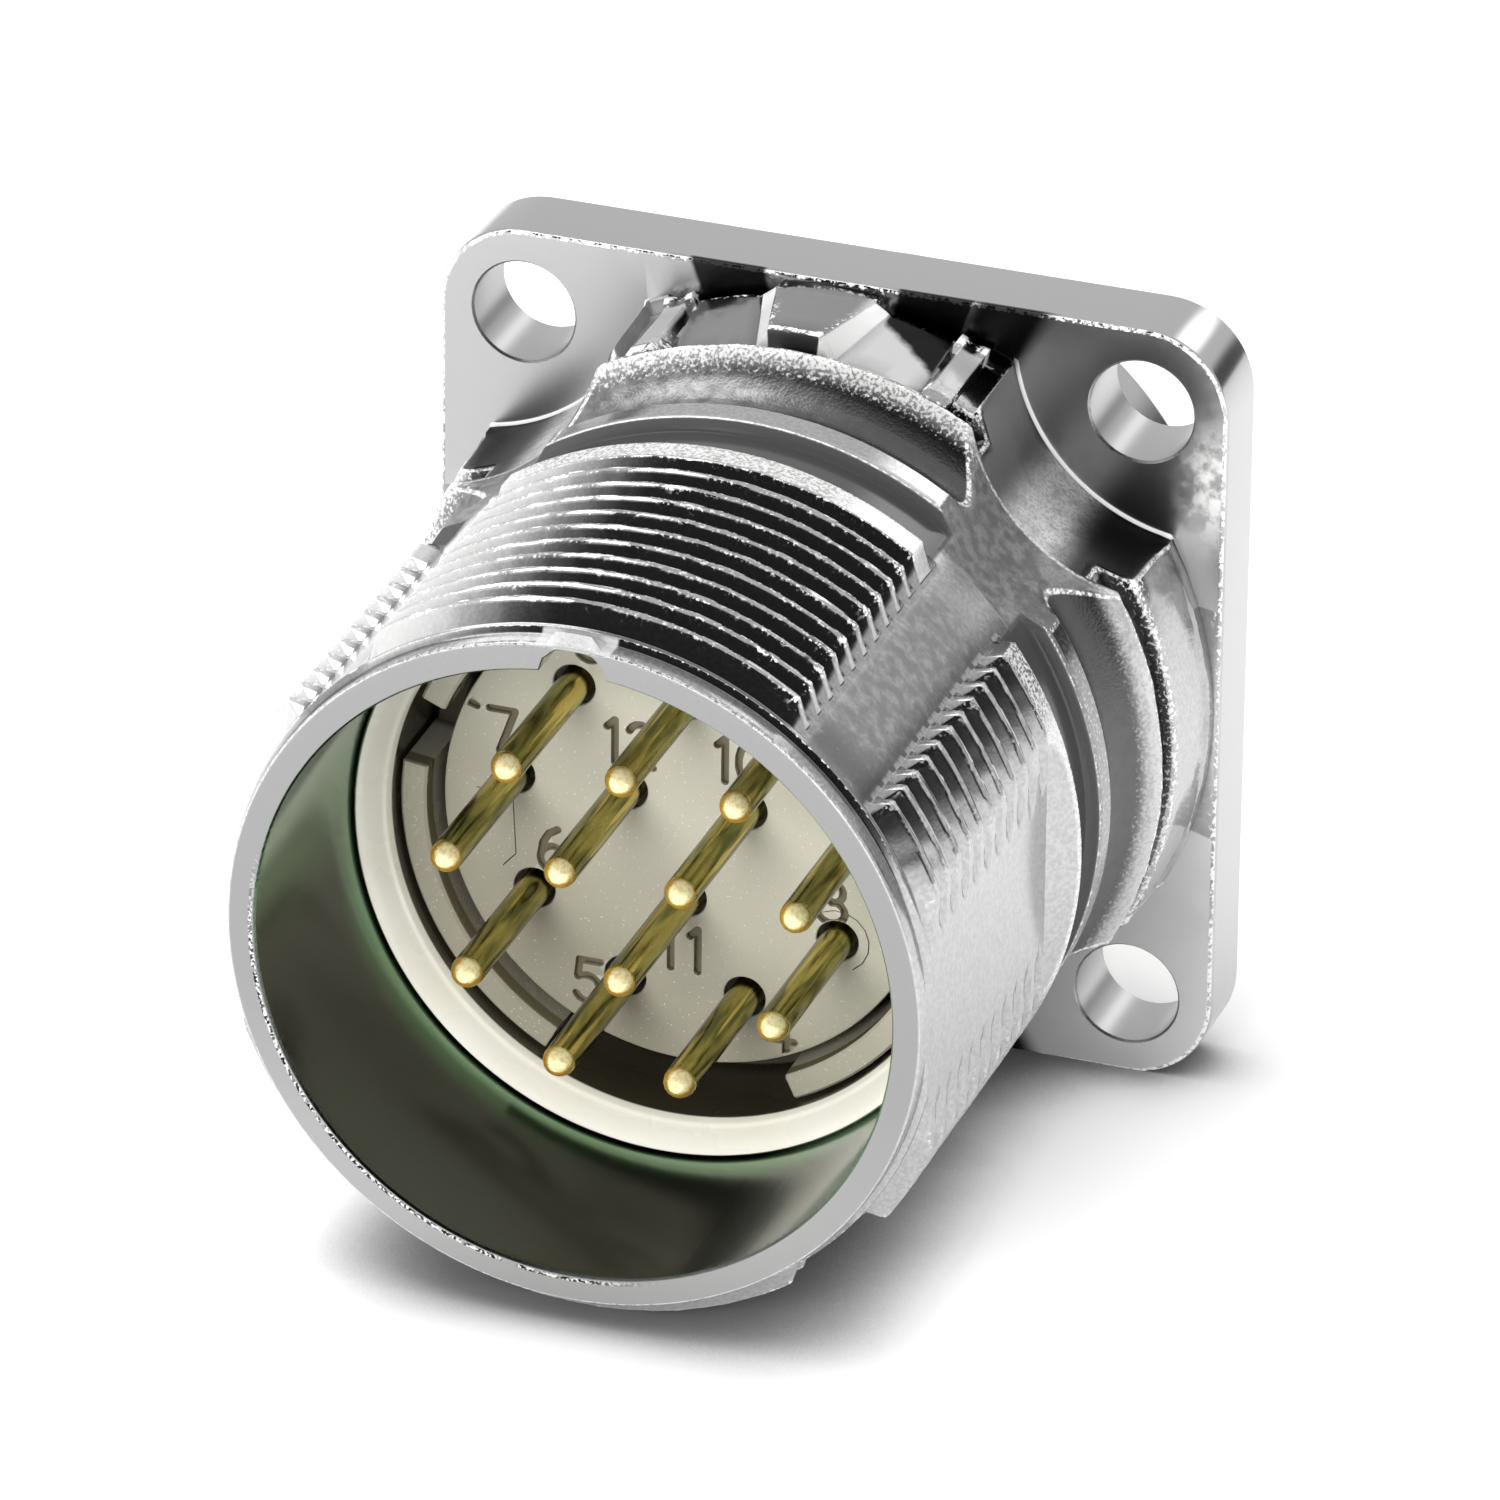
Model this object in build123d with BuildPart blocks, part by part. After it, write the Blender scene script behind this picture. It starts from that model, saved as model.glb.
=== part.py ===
"""Circular connector receptacle with a square flange, an M23 thread and twelve male contacts.

Millimetres, +Z up. The shell axis lies along Y with the mating face toward -Y. The mounting face
of the flange is the plane y = 0. A station is a distance from that face toward the mating face.
"""
import os
from math import cos, hypot, radians, sin, sqrt

from build123d import *

# thread on the shell
THREAD_R = 11.5
PITCH = 1.0
THREAD_DEPTH = 0.61 * PITCH
CREST_FLAT = 0.14 * PITCH
FIRST_CREST = 1.4
RIM_LAND = 0.65

# outside radii, each from the thread or from its neighbour
ROOT_R = THREAD_R - THREAD_DEPTH
RIM_R = ROOT_R - 0.2
RING_R = THREAD_R - 0.17
COLLAR_PROUD = 0.55
COLLAR_R = THREAD_R + COLLAR_PROUD
SLOT_DEPTH = 0.75
SLOT_R = COLLAR_R - SLOT_DEPTH
BASE_PROUD = 0.25
BASE_R = COLLAR_R + BASE_PROUD
FLAT_BITE = 0.23
FLAT_X = ROOT_R - FLAT_BITE

# square flange
FLANGE_LAND = 0.2
FLANGE = 2 * (BASE_R + FLANGE_LAND)
FLANGE_T = 2.7
CORNER_R = 2.7
HOLE_EDGE = 2.7
HOLE_PITCH = FLANGE - 2 * HOLE_EDGE
HOLE_D = 3.25
EDGE_ROUND = 0.15

# lengths along the shell, from the mounting face forward
BASE_STEP = 0.5
BASE_L = 2.65
SLOT_W = 1.0
LIP_T = 0.25
VALLEY_W = 2.35
RING_W = 1.1
SCALLOP_LEAD = 0.85
RELIEF_W = 0.9
END_CONE = 0.45
RIM_S = 25.0
BASE_STEP_S = FLANGE_T + BASE_STEP
SLOT_BACK_S = BASE_STEP_S + BASE_L
SLOT_FRONT_S = SLOT_BACK_S + SLOT_W
COLLAR_FACE_S = SLOT_FRONT_S + LIP_T
RING_BACK_S = COLLAR_FACE_S + VALLEY_W
RING_FRONT_S = RING_BACK_S + RING_W
SCALLOP_S = RING_FRONT_S + SCALLOP_LEAD
RELIEF_S = SCALLOP_S + RELIEF_W
THREAD_END_S = RELIEF_S + END_CONE

# bore
WALL = 1.09
BORE_R = ROOT_R - WALL
WEB_H = 0.95
WEB_R = BORE_R - WEB_H
REAR_STEP = 0.7
REAR_BORE_R = BORE_R - REAR_STEP
SPIGOT_WALL = 1.0
SPIGOT_R = REAR_BORE_R + SPIGOT_WALL
SPIGOT_L = 5.0
WEB_T = 1.0
WEB_BACK_S = 10.5
WEB_FRONT_S = WEB_BACK_S + WEB_T
KEYWAY_W = 2.0
KEYWAY_DEPTH = 0.7
KEYWAY_R = BORE_R + KEYWAY_DEPTH

# small breaks on turned corners
BREAK = 0.1

# clearances between the pieces
SEAT = 0.02
FIT = 0.05

# corner reliefs beside each flange hole
SCALLOP_IN = 0.75
SCALLOP_AT = FLANGE / 2 - SCALLOP_IN
SCALLOP_R = 6.0

# channels that cut the thread, as angles from the vertical
CHANNEL_R = ROOT_R - 0.05
RAMP_CREST_DEG = 33.8
RAMP_FOOT_DEG = 37.6
WALL_FOOT_DEG = 52.5
WALL_CREST_DEG = 53.8

# pockets in the collar, as angles from the vertical
BLOCK_FRONT_DEG = 4.0
BLOCK_BACK_DEG = 9.0
RIB_DEG = 21.5
POCKET_RISE = 0.35

# contacts
PIN_R = 0.5
PIN_TIP_S = 21.25
TIP_FLAT_R = 0.12
SHANK_R = PIN_R + 0.25
SHOULDER_R = PIN_R + 0.5
SHOULDER_L = 1.4
CUP_WALL = 0.2
CUP_DEPTH = 3.0
CUP_SLOT = 2.4
OUTER_R = 5.5
KEYED_R = 4.4
INNER_R = 2.16
OUTER_COUNT = 8
INNER_COUNT = 3

# contact carrier and its neighbours
FACE_S = 15.2
CARRIER_GAP = 1.2
CARRIER_R = WEB_R - CARRIER_GAP
CARRIER_FLANGE_R = REAR_BORE_R - FIT
SPLIT_S = 6.0
RETAINER_W = 0.75
REAR_BODY_R = REAR_BORE_R - RETAINER_W
REAR_END = 6.0
CUP_REACH = 4.0
LOCK_S = 4.2
DRIVER_SLOT = (2.4, 1.2)
DRIVER_SLOT_DEPTH = 1.0

# rings round the front of the carrier
KEY_RING_RISE = 0.7
KEY_RING_GAP = 0.3
KEY_WALL_H = 2.8
KEY_GAPS_DEG = ((155, 208), (278, 292))
CREAM_H = 5.7
CREAM_DISH = 1.0

# seals, drawn at their squeezed size
CARRIER_SEAL_W = 0.8
CARRIER_SEAL_D = 1.0
SEAL_GROOVE_FRONT = 2.3
SEAL_GROOVE_BACK = 1.1
FLANGE_SEAL_D = 1.0
HOLE_INNER = hypot(HOLE_PITCH / 2, HOLE_PITCH / 2) - HOLE_D / 2
FLANGE_SEAL_R = (SPIGOT_R + HOLE_INNER) / 2

os.makedirs("parts", exist_ok=True)


def station(s):
    """Plane across the axis at a station, its x along X and its y along Z."""
    return Plane.XZ.offset(s)


def polar(radius, degrees):
    """Point at an angle counted from +Z toward +X."""
    return (radius * sin(radians(degrees)), radius * cos(radians(degrees)))


def spin(profile):
    """Closed outline of (radius, station) pairs turned about the shell axis, in the open part."""
    with BuildSketch(Plane.XY) as outline:
        with BuildLine():
            Polyline(*[(r, -s) for r, s in profile], close=True)
        make_face()
    return outline.sketch


def save(built, label):
    """Label a finished piece and write it."""
    built.part.label = label
    export_step(built.part, f"parts/{label}.step")


def thread_outline():
    """Rim land, ridges and the crest land that ends the thread, as (radius, station)."""
    flank = (PITCH - 2 * CREST_FLAT) / 2
    points = [
        (RIM_R - 0.08, RIM_S),
        (RIM_R, RIM_S - 0.08),
        (RIM_R, RIM_S - RIM_LAND),
        (ROOT_R, RIM_S - RIM_LAND - BREAK),
    ]
    crest = RIM_S - FIRST_CREST
    while crest - PITCH > THREAD_END_S:
        points += [
            (ROOT_R, crest + CREST_FLAT / 2 + flank),
            (THREAD_R, crest + CREST_FLAT / 2),
            (THREAD_R, crest - CREST_FLAT / 2),
            (ROOT_R, crest - CREST_FLAT / 2 - flank),
        ]
        crest -= PITCH
    return points + [
        (ROOT_R, crest + CREST_FLAT / 2 + flank),
        (THREAD_R, crest + CREST_FLAT / 2),
        (THREAD_R, THREAD_END_S),
    ]


# shell: barrel turned in one outline, from the bore round the rim and back along the outside
shell_outline = (
    [(BORE_R + BREAK, RIM_S)]
    + thread_outline()
    + [
        (THREAD_R - 0.2, THREAD_END_S - 0.15),
        (ROOT_R, RELIEF_S),
        (ROOT_R, RING_FRONT_S + BREAK),
        (RING_R - BREAK, RING_FRONT_S),
        (RING_R, RING_FRONT_S - BREAK),
        (RING_R, RING_BACK_S + BREAK),
        (RING_R - BREAK, RING_BACK_S),
        (ROOT_R + BREAK, RING_BACK_S - VALLEY_W * 0.23),
        (ROOT_R, RING_BACK_S - VALLEY_W * 0.45),
        (ROOT_R + BREAK, RING_BACK_S - VALLEY_W * 0.7),
        (ROOT_R + 0.35, COLLAR_FACE_S + BREAK),
        (COLLAR_R - 0.5, COLLAR_FACE_S + 0.05),
        (COLLAR_R - 0.08, COLLAR_FACE_S),
        (COLLAR_R, COLLAR_FACE_S - 0.08),
        (COLLAR_R, SLOT_FRONT_S),
        (SLOT_R, SLOT_FRONT_S),
        (SLOT_R, SLOT_BACK_S),
        (BASE_R - 0.3, SLOT_BACK_S),
        (BASE_R - 0.15, SLOT_BACK_S - 0.15),
        (BASE_R - 0.08, BASE_STEP_S + 0.2),
        (BASE_R, BASE_STEP_S),
        (BASE_R, FLANGE_T / 2),
        (SPIGOT_R, FLANGE_T / 4),
        (SPIGOT_R, -SPIGOT_L + 0.3),
        (SPIGOT_R - 0.3, -SPIGOT_L),
        (REAR_BORE_R + 0.2, -SPIGOT_L),
        (REAR_BORE_R, -SPIGOT_L + 0.2),
        (REAR_BORE_R, WEB_BACK_S),
        (WEB_R, WEB_BACK_S),
        (WEB_R, WEB_FRONT_S),
        (BORE_R, WEB_FRONT_S),
        (BORE_R, RIM_S - BREAK),
    ]
)

with BuildPart() as housing:
    # flange with rounded corners
    with BuildSketch(station(0)):
        RectangleRounded(FLANGE, FLANGE, CORNER_R)
    extrude(amount=FLANGE_T)
    fillet(housing.faces().filter_by(Axis.Y).edges(), EDGE_ROUND)
    with BuildSketch(station(0)):
        Circle(SPIGOT_R - FIT)
    extrude(amount=FLANGE_T, mode=Mode.SUBTRACT)
    # barrel
    add(spin(shell_outline))
    revolve(axis=Axis.Y)
    # corner reliefs beside the flange holes, running forward through both rings
    with BuildSketch(station(FLANGE_T)):
        with GridLocations(2 * SCALLOP_AT, 2 * SCALLOP_AT, 2, 2):
            Circle(SCALLOP_R)
    extrude(amount=SCALLOP_S - FLANGE_T, mode=Mode.SUBTRACT)
    # channels along the thread, with a run-in ramp on the side toward the top or the bottom
    with BuildSketch(station(RELIEF_S)):
        for side in (1, -1):
            for half in (0, 180):
                with BuildLine():
                    foot = polar(CHANNEL_R, half + side * RAMP_FOOT_DEG)
                    floor = polar(CHANNEL_R, half + side * (RAMP_FOOT_DEG + WALL_FOOT_DEG) / 2)
                    heel = polar(CHANNEL_R, half + side * WALL_FOOT_DEG)
                    ThreePointArc(foot, floor, heel)
                    Polyline(
                        heel,
                        polar(THREAD_R, half + side * WALL_CREST_DEG),
                        polar(THREAD_R + 1, half + side * WALL_CREST_DEG),
                        polar(THREAD_R + 2, half + side * (RAMP_CREST_DEG + WALL_CREST_DEG) / 2),
                        polar(THREAD_R + 1, half + side * RAMP_CREST_DEG),
                        polar(THREAD_R, half + side * RAMP_CREST_DEG),
                        foot,
                    )
                make_face()
    extrude(amount=RIM_S, mode=Mode.SUBTRACT)
    # flats on both sides of the thread
    with BuildSketch(station(THREAD_END_S + 0.15)):
        with Locations((FLAT_X + 1, 0), (-FLAT_X - 1, 0)):
            Rectangle(2, 2 * THREAD_R)
    extrude(amount=RIM_S, mode=Mode.SUBTRACT)
    # pockets in the collar beside a middle block, above and below
    for half in (0, 180):
        for side in (1, -1):
            for s, block, floor in (
                (SLOT_FRONT_S, BLOCK_FRONT_DEG, SLOT_R),
                (BASE_STEP_S, BLOCK_BACK_DEG, SLOT_R + POCKET_RISE),
            ):
                with BuildSketch(station(s)):
                    with BuildLine():
                        Polyline(
                            polar(floor, half + side * block),
                            polar(floor, half + side * RIB_DEG),
                            polar(BASE_R + 1, half + side * RIB_DEG),
                            polar(BASE_R + 1, half + side * block),
                            close=True,
                        )
                    make_face()
            loft(mode=Mode.SUBTRACT)
    # flange holes
    with BuildSketch(station(-FIT)):
        with GridLocations(HOLE_PITCH, HOLE_PITCH, 2, 2):
            Circle(HOLE_D / 2)
    extrude(amount=FLANGE_T + 2 * FIT, mode=Mode.SUBTRACT)
    # keyway down the bore
    keyway_foot = BORE_R - BREAK
    with BuildSketch(station(WEB_FRONT_S)):
        with Locations((0, (keyway_foot + KEYWAY_R) / 2 - KEYWAY_DEPTH / 4)):
            RectangleRounded(KEYWAY_W, KEYWAY_R - keyway_foot + KEYWAY_DEPTH / 2, KEYWAY_DEPTH * 0.6)
    extrude(amount=RIM_S, mode=Mode.SUBTRACT)
    # small bead on the rim over the keyway
    with BuildSketch(station(RIM_S - RIM_LAND)):
        with Locations((0, RIM_R - BREAK)):
            RectangleRounded(KEYWAY_W * 0.8, 0.7, 0.3)
    extrude(amount=RIM_LAND - BREAK)
    # groove for the flange seal
    groove = FLANGE_SEAL_D / 2 + FIT
    with BuildSketch(station(0)):
        Circle(FLANGE_SEAL_R + groove)
        Circle(FLANGE_SEAL_R - groove, mode=Mode.SUBTRACT)
    extrude(amount=FLANGE_SEAL_D, mode=Mode.SUBTRACT)
save(housing, "housing")

# cream ring on the web at the bottom of the bore
cream_s = WEB_BACK_S + WEB_T + CREAM_H - CREAM_DISH
with BuildPart() as shoulder_ring:
    with BuildSketch(Plane.XY):
        with BuildLine():
            outer, inner = BORE_R - FIT, WEB_R
            land = outer - BREAK
            base = -(WEB_FRONT_S + SEAT)
            top = -(WEB_FRONT_S + CREAM_H)
            middle = (land - (land - inner) * 0.7, top + CREAM_DISH * 0.36)
            Polyline((inner, base), (outer, base), (outer, top), (land, top))
            ThreePointArc((land, top), middle, (inner, -cream_s))
            Line((inner, -cream_s), (inner, base))
        make_face()
    revolve(axis=Axis.Y)
save(shoulder_ring, "shoulder_ring")

# coding ring: a low ring with wall segments standing on it
key_outer, key_inner = WEB_R - 2 * FIT, CARRIER_R + KEY_RING_GAP
key_base, key_top = WEB_BACK_S + SEAT, FACE_S + KEY_RING_RISE
with BuildPart() as key_ring:
    with BuildSketch(station(key_base)):
        Circle(key_outer)
        Circle(key_inner, mode=Mode.SUBTRACT)
    extrude(amount=key_top - key_base)
    for start, end in KEY_GAPS_DEG:
        with BuildSketch(station(key_top - KEY_WALL_H)):
            with BuildLine():
                Polyline(
                    (0, 0),
                    polar(2 * key_outer, start),
                    polar(2.4 * key_outer, (start + end) / 2),
                    polar(2 * key_outer, end),
                    close=True,
                )
            make_face()
        extrude(amount=2 * KEY_WALL_H, mode=Mode.SUBTRACT)
save(key_ring, "key_ring")

# places of the contacts: radius and angle from +Z toward +X, in the order of their numbers
outer_step, inner_step = 360 / (OUTER_COUNT + 1), 360 / INNER_COUNT
contacts = [(OUTER_R, outer_step * (n + 1)) for n in range(OUTER_COUNT)]
contacts += [(KEYED_R, 0)]
contacts += [(INNER_R, inner_step * (n + 0.5)) for n in range(INNER_COUNT)]
seats = [polar(radius, angle) for radius, angle in contacts]

# front half of the contact carrier
seal_floor_r = CARRIER_FLANGE_R - CARRIER_SEAL_W
with BuildPart() as carrier_front:
    add(
        spin(
            [
                (0, SPLIT_S + SEAT),
                (CARRIER_FLANGE_R, SPLIT_S + SEAT),
                (CARRIER_FLANGE_R, SPLIT_S + SEAL_GROOVE_BACK),
                (seal_floor_r, SPLIT_S + SEAL_GROOVE_BACK),
                (seal_floor_r, SPLIT_S + SEAL_GROOVE_FRONT),
                (CARRIER_FLANGE_R, SPLIT_S + SEAL_GROOVE_FRONT),
                (CARRIER_FLANGE_R, WEB_BACK_S - SEAT),
                (CARRIER_R, WEB_BACK_S - SEAT),
                (CARRIER_R, FACE_S - 0.15),
                (CARRIER_R - 0.15, FACE_S),
                (0, FACE_S),
            ]
        )
    )
    revolve(axis=Axis.Y)
    with BuildSketch(station(SPLIT_S)):
        with Locations(*seats):
            Circle(PIN_R + FIT)
    extrude(amount=FACE_S, mode=Mode.SUBTRACT)
    with BuildSketch(station(FACE_S - 1.2)):
        with Locations(*seats):
            Circle(PIN_R + 0.24)
    extrude(amount=2, mode=Mode.SUBTRACT)
    with BuildSketch(station(SPLIT_S)):
        with Locations(*seats):
            Circle(SHOULDER_R + FIT)
    extrude(amount=SHOULDER_L + BREAK, mode=Mode.SUBTRACT)
save(carrier_front, "carrier_front")

# rear half of the carrier, its flange pressed forward by the retaining ring
with BuildPart() as carrier_rear:
    add(
        spin(
            [
                (0, SPLIT_S),
                (CARRIER_FLANGE_R, SPLIT_S),
                (CARRIER_FLANGE_R, LOCK_S),
                (REAR_BODY_R, LOCK_S),
                (REAR_BODY_R, 0.3 - REAR_END),
                (REAR_BODY_R - 0.3, -REAR_END),
                (0, -REAR_END),
            ]
        )
    )
    revolve(axis=Axis.Y)
    with BuildSketch(station(-REAR_END)):
        with Locations(*seats):
            Circle(SHANK_R + FIT)
    extrude(amount=SPLIT_S + REAR_END, mode=Mode.SUBTRACT)
save(carrier_rear, "carrier_rear")

# retaining ring behind the carrier, with four slots for a driver
with BuildPart() as retaining_ring:
    with BuildSketch(station(0)):
        Circle(REAR_BORE_R - FIT)
        Circle(REAR_BODY_R + FIT, mode=Mode.SUBTRACT)
    extrude(amount=LOCK_S - SEAT)
    with BuildSketch(station(0)):
        with PolarLocations(REAR_BORE_R, 4):
            Rectangle(*DRIVER_SLOT)
    extrude(amount=DRIVER_SLOT_DEPTH, mode=Mode.SUBTRACT)
save(retaining_ring, "retaining_ring")

# O-ring round the carrier
seal_half_w = (CARRIER_SEAL_W + FIT) / 2 - SEAT
with BuildPart() as carrier_seal:
    with BuildSketch(Plane.XY):
        middle = SPLIT_S + (SEAL_GROOVE_BACK + SEAL_GROOVE_FRONT) / 2
        with Locations((seal_floor_r + SEAT + seal_half_w, -middle)):
            Ellipse(seal_half_w, CARRIER_SEAL_D / 2)
    revolve(axis=Axis.Y)
save(carrier_seal, "carrier_seal")

# O-ring in the mounting face
with BuildPart() as flange_seal:
    with BuildSketch(Plane.XY):
        with Locations((FLANGE_SEAL_R, -(FLANGE_SEAL_D / 2 + SEAT))):
            Ellipse(FLANGE_SEAL_D / 2 + SEAT, FLANGE_SEAL_D / 2 - FIT)
    revolve(axis=Axis.Y)
save(flange_seal, "flange_seal")

# one contact turned from bar: rounded pin, shoulder, shank and solder cup
cup_end = REAR_END + CUP_REACH
with BuildPart() as pin:
    with BuildSketch(Plane.XY):
        with BuildLine():
            tip = -PIN_TIP_S
            shoulder_s = SPLIT_S + SHOULDER_L
            bow = (TIP_FLAT_R + (PIN_R - TIP_FLAT_R) / sqrt(2), tip + PIN_R * 0.26)
            Line((0, tip), (TIP_FLAT_R, tip))
            ThreePointArc((TIP_FLAT_R, tip), bow, (PIN_R, tip + PIN_R))
            Polyline(
                (PIN_R, tip + PIN_R),
                (PIN_R, -shoulder_s),
                (SHOULDER_R, -shoulder_s),
                (SHOULDER_R, -(SPLIT_S + SEAT)),
                (SHANK_R, -(SPLIT_S + SEAT)),
                (SHANK_R, cup_end),
                (SHANK_R - CUP_WALL, cup_end),
                (SHANK_R - CUP_WALL, cup_end - CUP_DEPTH),
                (0, cup_end - CUP_DEPTH - 0.3),
                (0, tip),
            )
        make_face()
    revolve(axis=Axis.Y)
    with BuildSketch(station(-cup_end)):
        with Locations((0, SHANK_R)):
            Rectangle(2 * SHANK_R, SHANK_R)
    extrude(amount=CUP_SLOT, mode=Mode.SUBTRACT)

for number, (x, z) in enumerate(seats, start=1):
    placed = Pos(x, 0, z) * pin.part
    placed.label = f"contact_{number}"
    export_step(placed, f"parts/contact_{number}.step")
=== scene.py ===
"""Looks of a circular connector receptacle: square flange, outside thread, twelve male contacts.

Sizes are in millimetres and become metres when a mesh is made. The shell axis lies along Y, the
mating face looks toward -Y, and a station is a distance from the mounting face toward the mating
face. Angles on the shell are counted from +Z toward +X.
"""
from __future__ import annotations

import logging
import math
from dataclasses import dataclass, field
from enum import Enum
from functools import reduce
from operator import mul
from typing import Callable, Sequence

import bmesh
import bpy
import numpy as np
from mathutils import Matrix, Vector, geometry

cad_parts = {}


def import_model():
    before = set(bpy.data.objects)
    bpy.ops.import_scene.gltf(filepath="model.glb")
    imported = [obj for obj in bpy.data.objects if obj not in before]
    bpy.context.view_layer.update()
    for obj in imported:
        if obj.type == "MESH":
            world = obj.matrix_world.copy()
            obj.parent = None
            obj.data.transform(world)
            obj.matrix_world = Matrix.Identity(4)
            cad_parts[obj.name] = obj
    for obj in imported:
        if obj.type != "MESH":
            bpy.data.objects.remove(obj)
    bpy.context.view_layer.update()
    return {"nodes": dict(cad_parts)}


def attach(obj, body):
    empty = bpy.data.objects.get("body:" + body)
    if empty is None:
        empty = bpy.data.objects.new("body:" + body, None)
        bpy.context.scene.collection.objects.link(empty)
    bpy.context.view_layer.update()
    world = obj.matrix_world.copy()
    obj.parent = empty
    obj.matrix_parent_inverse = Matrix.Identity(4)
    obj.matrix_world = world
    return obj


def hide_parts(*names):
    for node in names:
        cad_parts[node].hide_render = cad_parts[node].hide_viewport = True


LOG = logging.getLogger("receptacle")
MM = 0.001
FULL_TURN = 360.0
Point = tuple[float, float, float]
Colour = tuple[float, float, float, float]
Triple = tuple[float, float, float]
Span = tuple[float, float]
Outline = list[Span]
Level = np.ndarray | float


def grey(level: float) -> Colour:
    """Opaque grey."""
    return level, level, level, 1


class Slot(Enum):
    """Material slots of the record."""

    NICKEL = "nickel_plate"
    GOLD = "gold_plate"
    BEIGE = "beige_plastic"
    CREAM = "cream_plastic"
    RUBBER = "seal_rubber"


def polar(radius: float, degrees: float) -> Span:
    """Point (x, z) at an angle counted from +Z toward +X."""
    angle = math.radians(degrees)
    return radius * math.sin(angle), radius * math.cos(angle)


def ramp(value: Level, start: float, end: float) -> Level:
    """Linear rise from 0 at start to 1 at end, clamped outside."""
    return np.clip((value - start) / (end - start), 0.0, 1.0)


def ease(value: Level, start: float, end: float) -> Level:
    """Smooth rise from 0 at start to 1 at end."""
    share = ramp(value, start, end)
    return share * share * (3.0 - 2.0 * share)


def rounded(corners: Sequence[Triple], steps: int = 3) -> Outline:
    """Open outline with a small curve at each corner.

    Args:
        corners: (radius, station, rounding) of each corner.
        steps: Points on each rounded corner.

    Returns:
        Outline points in the order of the corners.
    """
    points: Outline = []
    for index, (radius, station, size) in enumerate(corners):
        here = Vector((radius, station))
        if size <= 0 or index in (0, len(corners) - 1):
            points.append((radius, station))
            continue
        before, after = (Vector(corners[index + step][:2]) - here for step in (-1, 1))
        reach = min(size, 0.45 * before.length, 0.45 * after.length)
        start = here + before.normalized() * reach
        end = here + after.normalized() * reach
        for step in range(steps):
            t = step / (steps - 1)
            p = start * (1 - t) ** 2 + here * 2 * t * (1 - t) + end * t ** 2
            points.append((p.x, p.y))
    return points


def inside(points: np.ndarray, polygon: np.ndarray) -> np.ndarray:
    """Which of the 2-D points lie inside a closed polygon."""
    x, y = points[:, 0], points[:, 1]
    found = np.zeros(len(points), bool)
    for (ax, ay), (bx, by) in zip(polygon, np.roll(polygon, -1, axis=0)):
        crosses = (ay > y) != (by > y)
        with np.errstate(divide="ignore", invalid="ignore"):
            at = (bx - ax) * (y - ay) / (by - ay) + ax
        found ^= crosses & (x < at)
    return found


def show(name: str, data: bpy.types.ID) -> bpy.types.Object:
    """New object of the scene that holds some data."""
    made = bpy.data.objects.new(name, data)
    bpy.context.scene.collection.objects.link(made)
    return made


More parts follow.
